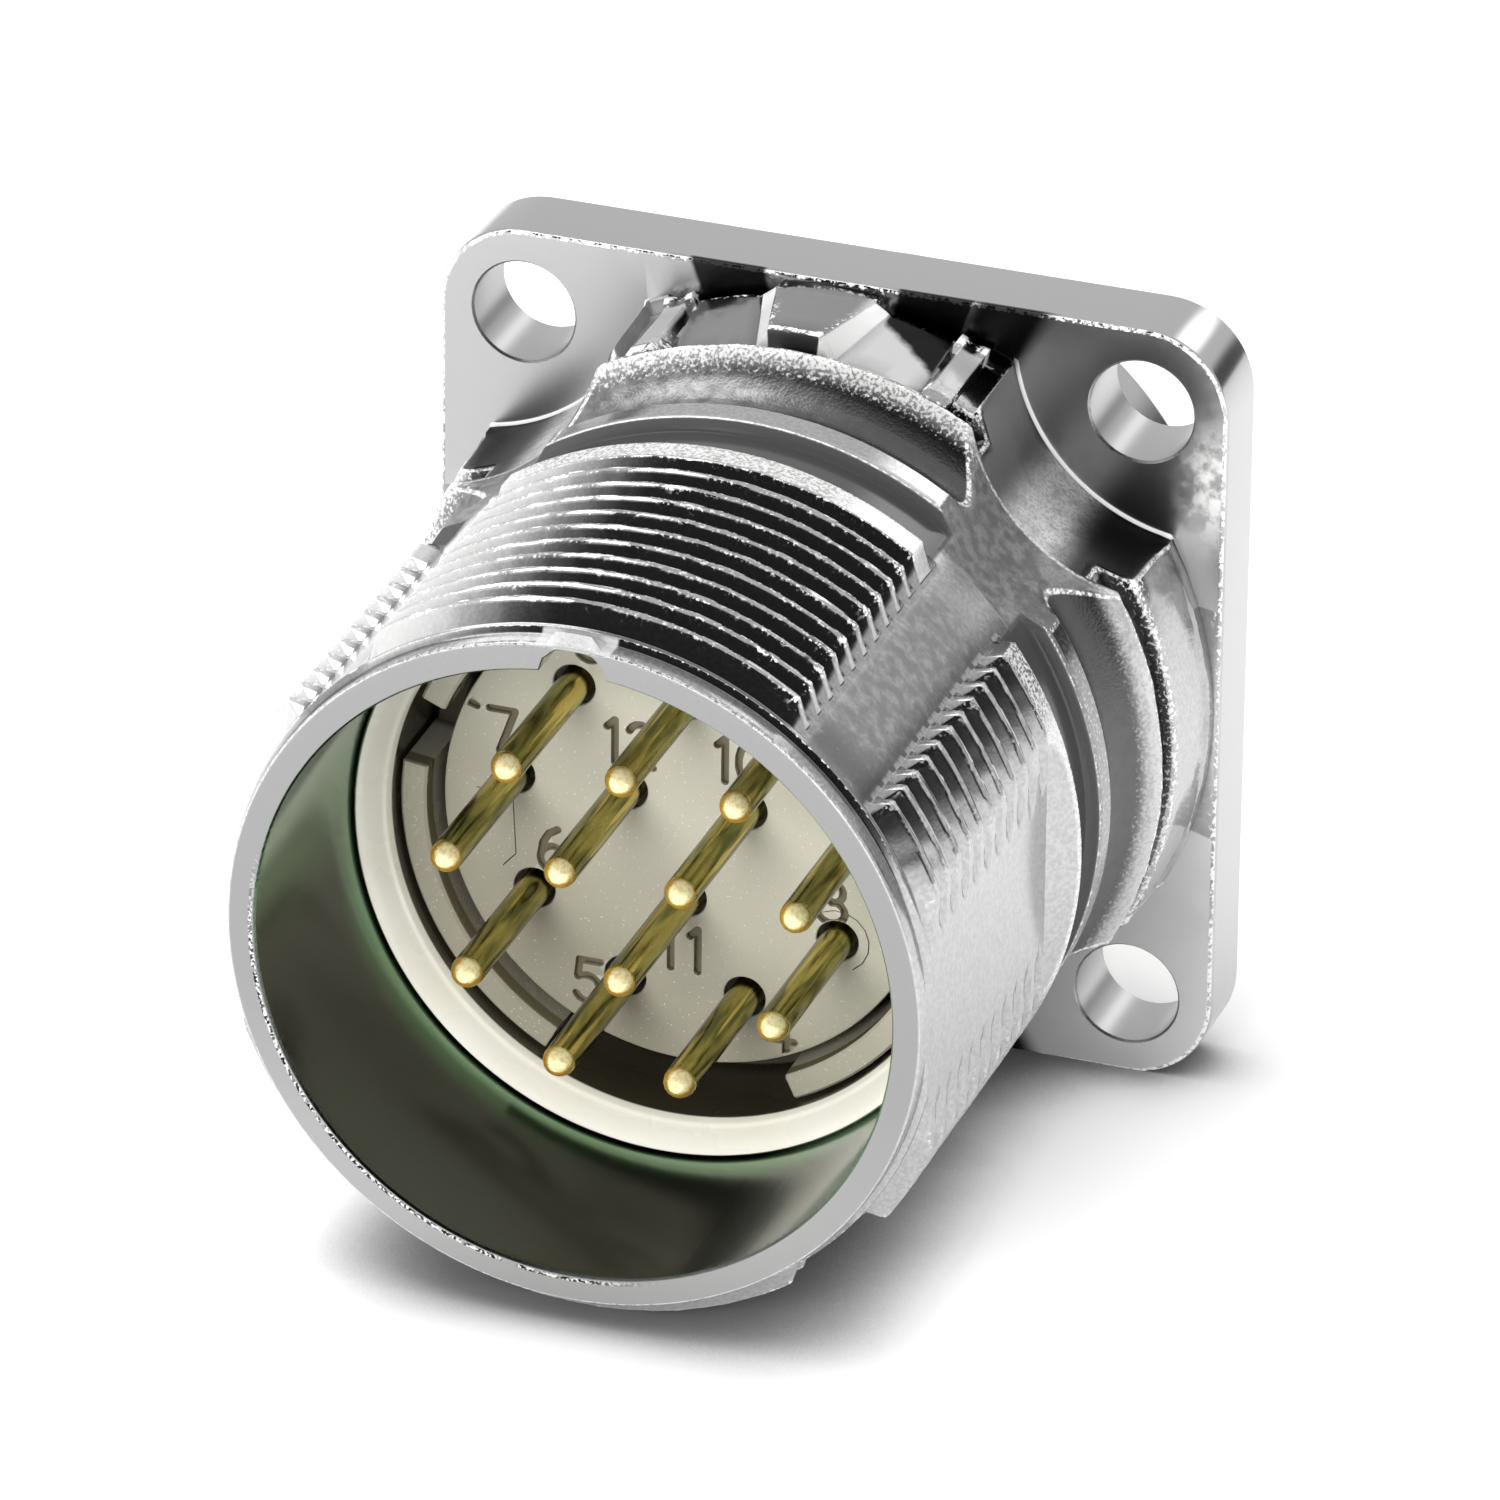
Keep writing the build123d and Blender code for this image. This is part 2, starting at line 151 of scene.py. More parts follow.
class Draft:
    """Points and faces of one piece, gathered in millimetres."""

    def __init__(self) -> None:
        self.points: list[Point] = []
        self.faces: list[tuple[int, ...]] = []

    def ring(self, outline: Outline, station: float) -> list[int]:
        """Add points (x, z) at one station and return their numbers."""
        first = len(self.points)
        self.points += [(x, -station, z) for x, z in outline]
        return list(range(first, len(self.points)))

    def wrap(self, radii: Level, stations: Level, degrees: np.ndarray) -> list[int]:
        """Add one closed ring, with one radius and station or its own in each column."""
        first = len(self.points)
        angle = np.radians(degrees)
        x, z = radii * np.sin(angle), radii * np.cos(angle)
        y = -(stations + 0.0 * angle)
        self.points += list(zip(x.tolist(), y.tolist(), z.tolist()))
        return list(range(first, len(self.points)))

    def bridge(self, first: list[int], second: list[int]) -> None:
        """Join two closed rings of equal length with quads."""
        count = len(first)
        for i in range(count):
            j = (i + 1) % count
            self.faces.append((first[i], first[j], second[j], second[i]))

    def loft(self, rings: Sequence[list[int]], closed: bool = False) -> None:
        """Join each ring to the next, and the last to the first if closed."""
        for first, second in zip(rings, rings[1:]):
            self.bridge(first, second)
        if closed:
            self.bridge(rings[-1], rings[0])

    def cap(self, ring: list[int], front: bool) -> None:
        """Close a ring with one face that looks to the front or to the back."""
        self.faces.append(tuple(reversed(ring)) if front else tuple(ring))

    def flat(self, ring: list[int]) -> np.ndarray:
        """Points (x, z) of a ring."""
        return np.array([self.points[n][::2] for n in ring])

    def triangles(
        self, outer: list[int], holes: Sequence[list[int]], extra: Sequence[list[int]]
    ) -> tuple[list[int], np.ndarray, np.ndarray]:
        """Cut the flat face between an outer ring and its holes into triangles.

        Args:
            outer: Numbers of the outer ring.
            holes: Numbers of each hole's ring.
            extra: More rings that the triangles follow.

        Returns:
            The number of each point, the triangles that turn alike, and their middles.
        """
        rings = [outer, *holes, *extra]
        used = [n for ring in rings for n in ring]
        edges, start = [], 0
        for ring in rings:
            count = len(ring)
            edges += [(start + i, start + (i + 1) % count) for i in range(count)]
            start += count
        found = geometry.delaunay_2d_cdt([Vector(spot) for spot in self.flat(used)], edges, [], 0, 1e-7)
        station = -self.points[outer[0]][1]
        number = [
            used[origins[0]] if origins else self.ring([tuple(spot)], station)[0]
            for spot, origins in zip(found[0], found[3])
        ]
        spots = np.array([tuple(spot) for spot in found[0]])
        corners = np.array([face for face in found[2] if len(face) == 3])
        middles = spots[corners].mean(axis=1)
        keep = inside(middles, self.flat(outer))
        for hole in holes:
            keep &= ~inside(middles, self.flat(hole))
        a, b, c = (spots[corners[:, k]] for k in range(3))
        turn = (b[:, 0] - a[:, 0]) * (c[:, 1] - a[:, 1]) - (b[:, 1] - a[:, 1]) * (c[:, 0] - a[:, 0])
        corners[turn < 0] = corners[turn < 0][:, ::-1]
        return number, corners[keep], middles[keep]

    def plate(
        self,
        outer: list[int],
        holes: Sequence[list[int]],
        front: bool,
        sunk: Callable[[np.ndarray], np.ndarray] | None = None,
        extra: Sequence[list[int]] = (),
        depth: float = 0.0,
    ) -> None:
        """Fill a flat face between an outer ring and holes, with engraved strokes if asked.

        Args:
            outer: Numbers of the outer ring.
            holes: Numbers of each hole's ring.
            front: True where the face looks toward the mating side.
            sunk: Tells which (x, z) points lie in an engraved stroke.
            extra: Rings that bound engraved strokes.
            depth: How deep the strokes go.
        """
        number, triangles, middles = self.triangles(outer, holes, extra)
        floor = -self.points[outer[0]][1] - depth
        low = sunk(middles) if sunk else np.zeros(len(middles), bool)
        below: dict[int, int] = {}
        rims: dict[tuple[int, int], bool] = {}
        for triangle, sunken in zip(triangles.tolist(), low):
            corners = triangle if front else triangle[::-1]
            if not sunken:
                self.faces.append(tuple(number[n] for n in corners))
                continue
            for n in corners:
                if n not in below:
                    below[n] = self.ring([self.points[number[n]][::2]], floor)[0]
            for p, q in zip(corners, corners[1:] + corners[:1]):
                if not rims.pop((q, p), False):
                    rims[(p, q)] = True
            self.faces.append(tuple(below[n] for n in corners))
        self.faces += [(number[p], number[q], below[q], below[p]) for p, q in rims]

    def bores(self, places: Outline, sections: Outline, step: float) -> tuple[list[list[int]], ...]:
        """Walls of equal holes through two flat faces.

        Args:
            places: Middle (x, z) of each hole.
            sections: Radius and station of each section, from one face to the other.
            step: Degrees between the points of a circle.

        Returns:
            The first rings of the holes, and their last rings.
        """
        firsts, lasts = [], []
        for x, z in places:
            walls = []
            for radius, station in sections:
                circle = (polar(radius, turn) for turn in np.arange(0, FULL_TURN, step))
                walls.append(self.ring([(x + dx, z + dz) for dx, dz in circle], station))
            self.loft(walls)
            firsts.append(walls[0])
            lasts.append(walls[-1])
        return firsts, lasts

    def turn(self, outline: Outline, count: int, closed: bool = True) -> None:
        """Turn an outline of (radius, station) points about the shell axis."""
        degrees = np.arange(count) * FULL_TURN / count
        self.loft([self.wrap(radius, station, degrees) for radius, station in outline], closed)

    def build(self, name: str, sharp_degrees: float, wide: float = 0.7) -> bpy.types.Object:
        """Make the object in metres, with merged points, smooth faces and sharp edges by angle.

        Args:
            name: Name of the object and of its mesh.
            sharp_degrees: Angle from which an edge stays hard.
            wide: Longest side of the faces whose edges are marked, or 0 for no marks.
        """
        mesh = bpy.data.meshes.new(name)
        mesh.from_pydata(self.points, [], self.faces)
        made = show(name, mesh)
        tidy_mesh(mesh)
        finish_shading(mesh, sharp_degrees)
        weigh_normals(made)
        made.data.transform(Matrix.Scale(MM, 4))
        if wide:
            mark_edges(made, wide)
        return made


def tidy_mesh(mesh: bpy.types.Mesh) -> None:
    """Merge points that lie on each other and drop faces without area, in millimetres."""
    work = bmesh.new()
    work.from_mesh(mesh)
    bmesh.ops.remove_doubles(work, verts=work.verts, dist=2e-4)
    bmesh.ops.dissolve_degenerate(work, edges=work.edges, dist=1e-4)
    work.to_mesh(mesh)
    work.free()


def finish_shading(mesh: bpy.types.Mesh, sharp_degrees: float) -> None:
    """Shade smooth, with edges sharper than the angle left hard."""
    mesh.shade_smooth()
    mesh.set_sharp_from_angle(angle=math.radians(sharp_degrees))


def weigh_normals(piece: bpy.types.Object) -> None:
    """Let wide flat faces set the shading normals of a mesh that is still in millimetres."""
    piece.modifiers.new("weighted", "WEIGHTED_NORMAL").keep_sharp = True
    evaluated = piece.evaluated_get(bpy.context.evaluated_depsgraph_get())
    mesh = bpy.data.meshes.new_from_object(evaluated)
    piece.modifiers.clear()
    piece.data = mesh


def mark_edges(piece: bpy.types.Object, wide: float) -> None:
    """Store how convex and how hollow the surface is at each corner, from 0 to 1.

    Args:
        piece: Mesh object that gets the attributes edge and crevice.
        wide: Longest side, in millimetres, of the faces that are marked.
    """
    mesh = piece.data
    count = len(mesh.vertices)
    place, normal = np.zeros(count * 3), np.zeros(count * 3)
    mesh.vertices.foreach_get("co", place)
    mesh.vertices.foreach_get("normal", normal)
    place, normal = place.reshape(-1, 3) / MM, normal.reshape(-1, 3)
    pairs = np.zeros(len(mesh.edges) * 2, int)
    mesh.edges.foreach_get("vertices", pairs)
    a, b = pairs.reshape(-1, 2).T
    span = place[b] - place[a]
    length = np.maximum(np.linalg.norm(span, axis=1), 1e-4)
    bend = ((normal[b] - normal[a]) * span).sum(axis=1) / length
    corner, along = np.zeros(len(mesh.loops), int), np.zeros(len(mesh.loops), int)
    mesh.loops.foreach_get("vertex_index", corner)
    mesh.loops.foreach_get("edge_index", along)
    first, sides = np.zeros(len(mesh.polygons), int), np.zeros(len(mesh.polygons), int)
    mesh.polygons.foreach_get("loop_start", first)
    mesh.polygons.foreach_get("loop_total", sides)
    small = np.repeat(np.maximum.reduceat(length[along], first) < wide, sides)
    for name, side in (("edge", 1.0), ("crevice", -1.0)):
        total, weight = np.zeros(count), np.zeros(count)
        for end in (a, b):
            np.add.at(total, end, np.maximum(side * bend, 0))
            np.add.at(weight, end, 1.0)
        value = np.clip(total / np.maximum(weight, 1) * 1.8, 0, 1)
        spread = value.copy()
        for near, far in ((a, b), (b, a)):
            np.maximum.at(spread, near, value[far] * 0.6)
        mark = mesh.attributes.new(name, "FLOAT", "CORNER")
        mark.data.foreach_set("value", (spread[corner] * small).astype(np.float32))


class Value:
    """Output socket of a tree, with the sums that masks are made of."""

    def __init__(self, graph: Graph, socket: bpy.types.NodeSocket) -> None:
        self.graph, self.socket = graph, socket

    def __add__(self, other: Value | float) -> Value:
        """Sum of two values."""
        return self.graph.math("ADD", self, other)

    def __sub__(self, other: Value | float) -> Value:
        """What is left of this value."""
        return self.graph.math("SUBTRACT", self, other)

    def __rsub__(self, other: float) -> Value:
        """What this value leaves of a number."""
        return self.graph.math("SUBTRACT", other, self)

    def __mul__(self, other: Value | float) -> Value:
        """Product, or where two masks meet."""
        return self.graph.math("MULTIPLY", self, other)

    def __or__(self, other: Value) -> Value:
        """Larger of two values, or either of two masks."""
        return self.graph.math("MAXIMUM", self, other)

    def __abs__(self) -> Value:
        """Value without its sign."""
        return self.graph.math("ABSOLUTE", self)

    def rise(self, start: float, end: float, low: float = 0.0, high: float = 1.0) -> Value:
        """Value carried smoothly from one span to another and held at its ends."""
        inputs = {0: self, 1: start, 2: end, 3: low, 4: high}
        return self.graph.value("ShaderNodeMapRange", inputs, interpolation_type="SMOOTHSTEP")

    def within(self, low: float, high: float, soft: float = 0.05) -> Value:
        """Mask that is 1 between two values, with soft ends."""
        return self.rise(low - soft, low + soft) * self.rise(high + soft, high - soft)


class Graph:
    """Adds and joins the nodes of one tree."""

    def __init__(self, tree: bpy.types.NodeTree) -> None:
        self.tree = tree

    def add(self, kind: str, inputs: dict | None = None, **settings: object) -> bpy.types.Node:
        """Add a node, set its options and fill or link its inputs.

        Args:
            kind: Blender's name of the node.
            inputs: Value or constant for each input, by name or place.
            settings: Options of the node.

        Returns:
            The new node.
        """
        node = self.tree.nodes.new(kind)
        for name, value in settings.items():
            setattr(node, name, value)
        self.feed(node, inputs or {})
        return node

    def feed(self, node: bpy.types.Node, inputs: dict) -> None:
        """Link values and sockets to a node's inputs, and set the constants."""
        for key, value in inputs.items():
            socket = value.socket if isinstance(value, Value) else value
            if isinstance(socket, bpy.types.NodeSocket):
                self.tree.links.new(socket, node.inputs[key])
            else:
                node.inputs[key].default_value = socket

    def value(
        self, kind: str, inputs: dict | None = None, output: int | str = 0, **settings: object
    ) -> Value:
        """Add a node as add does, and give one of its outputs."""
        return Value(self, self.add(kind, inputs, **settings).outputs[output])

    def math(self, operation: str, first: Value | float, second: Value | float = 0.0) -> Value:
        """Result of one sum on two values."""
        return self.value("ShaderNodeMath", {0: first, 1: second}, operation=operation)

    def blend(self, share: Value, first: Value | Colour, second: Value | Colour) -> Value:
        """Colour between two colours."""
        return self.value("ShaderNodeMix", {0: share, 6: first, 7: second}, 2, data_type="RGBA")

    def coats(self, ground: Value | Colour, *coats: tuple[Value, Value | Colour]) -> Value:
        """Colour of a ground with one coat after another over it, each through its mask."""
        for share, colour in coats:
            ground = self.blend(share, ground, colour)
        return ground

    def split(self, vector: Value) -> list[Value]:
        """X, Y and Z of a vector."""
        return [Value(self, socket) for socket in self.add("ShaderNodeSeparateXYZ", {0: vector}).outputs]

    def reach(self, x: Value, z: Value) -> Value:
        """Distance of (x, z) from the axis."""
        flat = self.value("ShaderNodeCombineXYZ", {0: x, 2: z})
        return self.value("ShaderNodeVectorMath", {0: flat}, "Value", operation="LENGTH")

    def noise(self, vector: Value, scale: Value | float, detail: float) -> Value:
        """Smooth noise from 0 to 1."""
        inputs = {"Vector": vector, "Scale": scale, "Detail": detail}
        return self.value("ShaderNodeTexNoise", inputs, "Fac")

    def group(self, tree: bpy.types.NodeTree, inputs: dict) -> dict[str, Value]:
        """Place a node group and give its outputs by name."""
        node = self.add("ShaderNodeGroup", inputs, node_tree=tree)
        return {socket.name: Value(self, socket) for socket in node.outputs}

    def bump(self, height: Value, depth: float, strength: float) -> Value:
        """Normal that follows a height, with its depth in millimetres."""
        inputs = {"Strength": strength, "Distance": depth * MM, "Height": height}
        return self.value("ShaderNodeBump", inputs)


def new_group(
    kind: str, name: str, inputs: dict[str, str], outputs: dict[str, str]
) -> tuple[Graph, dict[str, Value], bpy.types.Node]:
    """Start a node group with named sockets.

    Args:
        kind: Blender's name of the tree.
        name: Name of the group.
        inputs: Type of each value that it takes.
        outputs: Type of each value that it puts out.

    Returns:
        The graph of the group, its inputs by name and the node of its outputs.
    """
    tree = bpy.data.node_groups.new(name, kind)
    for way, sockets in (("INPUT", inputs), ("OUTPUT", outputs)):
        for label, socket in sockets.items():
            tree.interface.new_socket(label, in_out=way, socket_type="NodeSocket" + socket)
    graph = Graph(tree)
    entry, leave = graph.add("NodeGroupInput"), graph.add("NodeGroupOutput")
    return graph, {socket.name: Value(graph, socket) for socket in entry.outputs}, leave


def cast_grain() -> bpy.types.NodeTree:
    """Group for the grainy skin of cast and moulded surfaces, on millimetre coordinates."""
    name = "cast_grain"
    if name in bpy.data.node_groups:
        return bpy.data.node_groups[name]
    inputs = {"Vector": "Vector", "Size": "Float"}
    outputs = dict.fromkeys(("Height", "Cloud", "Speck"), "Float")
    graph, given, leave = new_group("ShaderNodeTree", name, inputs, outputs)
    scale = graph.math("DIVIDE", 1.0, given["Size"])
    fine = graph.noise(given["Vector"], scale, 3.0)
    broad = graph.noise(given["Vector"], scale * 0.14, 2.0)
    cells = graph.value("ShaderNodeTexVoronoi", {"Vector": given["Vector"], "Scale": scale}, "Distance")
    graph.feed(leave, {"Height": fine + cells * 0.5, "Cloud": broad, "Speck": cells.rise(0.28, 0.08)})
    return graph.tree


def edge_highlight_and_shade() -> bpy.types.NodeTree:
    """Group for painted highlights along convex edges, broken into patches, and painted shade in hollows,
    from the attributes.
    """
    name = "edge_highlight_and_shade"
    if name in bpy.data.node_groups:
        return bpy.data.node_groups[name]
    inputs = {"Vector": "Vector", "Size": "Float", "Amount": "Float"}
    graph, given, leave = new_group("ShaderNodeTree", name, inputs, {"Mask": "Float", "Hollow": "Float"})
    edge, hollow = (
        graph.value("ShaderNodeAttribute", None, "Fac", attribute_name=mark) for mark in ("edge", "crevice")
    )
    patch = graph.noise(given["Vector"], graph.math("DIVIDE", 1.0, given["Size"]), 3.0)
    ragged = edge * 0.95 + (patch - 0.5) * 2.0
    # Mask is the painted edge highlight; Hollow is the painted shade in concave corners.
    mask = ragged.rise(0.38, 0.62) * edge.rise(0.2, 0.45) * given["Amount"]
    graph.feed(leave, {"Mask": mask, "Hollow": hollow * patch.rise(0.25, 0.5, 0.75, 1.0)})
    return graph.tree


class Finish:
    """Base of the finishes: makes the material once and keeps it by name."""

    def material(self) -> bpy.types.Material:
        """Material of this finish, made at the first call."""
        name = type(self).__name__
        found = bpy.data.materials.get(name)
        if found is not None:
            return found
        made = bpy.data.materials.new(name)
        made.use_nodes = True
        graph = Graph(made.node_tree)
        inputs = {0: graph.value("ShaderNodeTexCoord", None, "Object"), "Scale": 1.0 / MM}
        vector = graph.value("ShaderNodeVectorMath", inputs, operation="SCALE")
        self.shade(graph, vector, made.node_tree.nodes["Principled BSDF"])
        return made

    @staticmethod
    def wire(surface: bpy.types.Node, colour: Value, rough: Value, normal: Value) -> None:
        """Link the inputs that every finish fills."""
        colour.graph.feed(surface, {"Base Color": colour, "Roughness": rough, "Normal": normal})

    def shade(self, graph: Graph, vector: Value, surface: bpy.types.Node) -> None:
        """Fill the surface shader of this finish.

        Args:
            graph: Graph of the material's tree.
            vector: Object coordinates in millimetres.
            surface: The Principled BSDF node.
        """
        raise NotImplementedError


# Low end, high end and softness of each part of the shell, in millimetres or degrees.
PARTS: dict[str, dict[str, Sequence[float]]] = {
    "rib_back": {"folded": (20.9, 24.5, 0.2), "station": (3.5, 6.2, 0.08)},
    "rib_end": {"folded": (22.0, 27.6, 0.3), "station": (6.3, 6.8, 0.06)},
    "rib_front": {"folded": (20.4, 24.6, 0.2), "station": (6.3, 6.8, 0.06)},
    "rib_ground": {"folded": (24.5, 28.6, 0.2), "station": (2.75, 6.3, 0.06)},
    "groove_floor": {"radius": (10.6, 11.3, 0.02), "station": (10.5, 12.7, 0.02)},
    "ring_line": {"radius": (11.27, 11.36, 0.015), "station": (10.46, 10.56, 0.015)},
    "relief_foot": {"relief": (5.9, 6.03, 0.02), "station": (2.68, 2.82, 0.02)},
    "relief_lip": {"relief": (6.06, 6.16, 0.02), "station": (3.0, 11.7)},
    "flange_patch": {"x": (11.3, 13.2, 0.8), "z": (6.0, 9.4, 1.4), "station": (2.69, 2.71, 0.005)},
    "flange_face": {"station": (2.69, 2.71, 0.005)},
    "flat_foot": {"folded": (38.5, 51.5, 1.0), "station": (22.4, 24.3, 0.8)},
    "flat_clouds": {"folded": (38.5, 51.5, 1.0), "station": (13.4, 23.4, 0.8)},
    "pocket_floor": {"station": (2.95, 6.8)},
    "ring_side": {"station": (9.5, 10.52)},
    "ring_front": {"station": (10.3, 10.6, 0.03)},
    "last_land": {"station": (12.74, 13.66, 0.04)},
    "thread": {"station": (12.7, 24.3)},
}


@dataclass(frozen=True)
class Places:
    """Where on the shell a point lies, in millimetres and degrees, and the noise of its skin."""

    x: Value
    z: Value
    station: Value
    radius: Value
    folded: Value
    relief: Value
    hole: Value
    mottle: Value
    speck: Value

    def part(self, name: str) -> Value:
        """Mask of a part of the shell, from its low end, high end and softness on each axis."""
        return reduce(mul, [getattr(self, axis).within(*span) for axis, span in PARTS[name].items()])


@dataclass(frozen=True)
class Masks:
    """Parts of the shell that the nickel finish tells apart, each from 0 to 1."""

    cast: Value
    edge: Value
    hollow: Value
    bright: Value
    facing: Value
    bead: Value
    hole: Value
    face: Value
    floor: Value
    painted_sheen: Value
    back: Value
    dull: Value
    skin: Value
    patch: Value
    shine: Value
    within: Value


@dataclass(frozen=True)
class NickelPlate(Finish):
    """Bright nickel over a die casting, rough in its hollows, with painted highlights on edges and lines,
    painted shade in recesses and creases, and a green tint down the bore that is partly painted reflection.
    """

    colour: Colour = grey(0.57)
    dim_colour: Colour = grey(0.47)
    # Painted light and painted shade on the pocket floors.
    lit_pocket_floor: Colour = grey(0.92)
    shaded_pocket_floor: Colour = grey(0.36)
    cast_dark: Colour = grey(0.13)
    cast_light: Colour = grey(0.45)
    relief_highlight: Colour = grey(0.8)
    dull: Colour = grey(0.085)
    rib_colour: Colour = grey(0.5)
    shy_colour: Colour = grey(0.26)
    face_colour: Colour = grey(0.47)
    lower_face_light: Colour = grey(0.85)
    bright_edge: Colour = (0.97, 0.97, 0.96, 1)
    dark: Colour = grey(0.025)
    rim_shade: Colour = grey(0.34)
    olive: Colour = (0.118, 0.128, 0.116, 1)
    green: Colour = (0.17, 0.28, 0.165, 1)
    roughness: float = 0.15
    cast_roughness: float = 0.34
    edge_roughness: float = 0.5
    painted: float = 0.75
    grain_size: float = 0.1
    edge_patch_size: float = 0.13
    bore_radius: float = 9.8
    ring_face: float = 17.2
    rim: float = 25.0
    relief_at: float = 11.75
    relief_radius: float = 6.0
    relief_middle: float = 46.5
    hole_at: float = 9.8
    hole_radius: float = 1.625
    collar_edge: Triple = (11.45, 6.9, 7.5)
    valley: Span = (7.1, 9.4)
    recess: Span = (9.6, 19.8)

    def places(self, graph: Graph, vector: Value) -> Places:
        """Find the place of a point from its coordinates."""
        x, y, z = graph.split(vector)
        across, upright = abs(x), abs(z)
        turn = graph.math("ARCTAN2", across, upright) * math.degrees(1.0)
        far = [graph.reach(across - at, upright - at) for at in (self.relief_at, self.hole_at)]
        skin = [graph.noise(vector, scale, detail) for scale, detail in ((2.4, 9.0), (9.0, 6.0))]
        return Places(x, z, y * -1.0, graph.reach(x, z), turn, *far, *skin)

    def bore(self, graph: Graph, at: Places) -> Value:
        """Olive bore that turns green beside the cream ring and on its upper and right sides, a tint that is
        partly painted reflection: the olive stands in for dark reflections and the green beside the ring for
        the ring's reflection.
        """
        near_ring = at.station.rise(self.ring_face + 1.9, self.ring_face + 0.4)
        right = at.x.rise(2.0, 8.0)
        side = (abs(at.x) + right * 1.6).rise(6.2, 9.4) * (at.z + right * 6.0).rise(-2.0, 1.5)
        return graph.blend(near_ring | side, self.olive, self.green)

    def recess_shade(self, at: Places) -> Value:
        """Mask of the painted shade in the recesses at the flange, beside the blocks and behind one pair of
        ribs.
        """
        right = at.x.rise(0.0, 0.1)
        lean = (at.folded - self.recess[0]) * 0.13
        depth = (lean + (at.mottle - 0.5) * 1.2 * 0.3 + 0.6) * right + 2.98
        pocket = at.folded.within(*self.recess, 0.4) * (at.station - depth).rise(0.25, -0.15)
        behind = at.folded.within(self.recess[1], 29.0, 1.5) * at.station.rise(3.0, 2.9)
        return (pocket | behind * right) * at.station.rise(2.5, 2.6)

    def pockets(self, at: Places) -> tuple[Value, Value]:
        """Masks of the pocket floors beside the blocks: painted shade on most of the floor and painted light
        on the floor right of the block.
        """
        both = at.part("pocket_floor") * at.folded.rise(20.0, 19.0)
        light = both * at.x.rise(0.0, 0.5) * at.folded.rise(5.0, 7.5)
        return both - light, light

    def block_sides(self, at: Places) -> Value:
        """Mask of the sloping sides of the blocks, which spread toward the flange."""
        slope = at.folded + (at.station - 3.2) * 1.2055
        return slope.within(7.35, 9.5, 0.15) * at.station.within(3.15, 6.75)

    def ribs(self, at: Places) -> tuple[Value, Value, Value]:
        """Masks of the ribs' backs, of the painted highlights on their ends and of the painted shadow on the
        ground beside one pair.
        """
        left, right = at.x.rise(0.0, -0.5), at.x.rise(0.0, 0.5)
        knobs = at.folded.within(20.0, 21.2, 0.2) | at.folded.within(23.8, 25.1, 0.2)
        knobs = knobs * at.station.within(2.95, 3.35)
        dull = at.part("rib_ground") * left | at.part("rib_front") * right
        return at.part("rib_back"), knobs | at.part("rib_end") * left, dull

    def relief_tone(self, graph: Graph, at: Places) -> Value:
        """Mottled cast skin, dark and smooth beside the block, with a painted highlight in the middle of a
        relief, painted shade toward its far end, and a valley painted lighter on the left.
        """
        middle = abs(at.folded - self.relief_middle).rise(9.0, 2.5)
        pale = middle * at.mottle.rise(0.3, 0.6, 0.65, 1.0) * at.speck.rise(0.35, 0.55, 0.6, 1.0)
        back = graph.coats(self.shy_colour, (at.folded.rise(40.0, 54.0), self.dull), (pale, self.relief_highlight))
        patches = at.mottle.rise(0.36, 0.66) * at.speck.rise(0.3, 0.6, 0.5, 1.0)
        before = graph.blend(patches, self.shy_colour, self.cast_light)
        wall = graph.blend(at.station.rise(7.05, 6.95), before, back)
        cloudy = at.mottle.rise(0.2, 0.7) * at.x.rise(-3.0, 4.0, 0.55, 0.05)
        valley = graph.blend(cloudy, self.cast_dark, self.cast_light)
        return graph.blend(at.relief.rise(6.08, 6.04), valley, wall)

    def cast(self, at: Places) -> Value:
        """Mask of the rough cast skin in the corner reliefs and before the collar."""
        relief = at.relief.rise(self.relief_radius + 0.12, self.relief_radius + 0.04)
        valley = at.station.within(*self.valley, 0.1) * at.radius.rise(10.6, 10.8)
        return relief * at.station.within(2.78, 11.6, 0.04) | valley

    def lines(self, at: Places) -> Value:
        """Mask of the painted highlight lines along the reliefs and of the painted glints on the grainy band
        round the collar.
        """
        inner, low, high = self.collar_edge
        grains = (at.speck + (at.radius - (inner + 0.27)) * 0.32).rise(0.42, 0.62, 0.0, 0.75)
        grains = grains * at.radius.rise(inner - 0.2, inner + 0.1)
        grains = grains * at.station.within(low, high, 0.04) * at.x.rise(7.0, 10.0, 1.0, 0.35)
        foot = at.part("relief_foot") * at.radius.rise(12.4, 12.3)
        lip = at.part("relief_lip") * at.radius.rise(10.6, 10.8)
        land = at.part("last_land") * at.radius.rise(11.38, 11.46, 0.0, 0.75)
        arc = at.station.within(6.92, 7.06, 0.02) * at.relief.rise(6.06, 6.03) * 0.7
        broken = (arc | lip | at.part("ring_line") | land) * at.speck.rise(0.38, 0.58, 0.3, 1.0)
        return foot | grains | broken

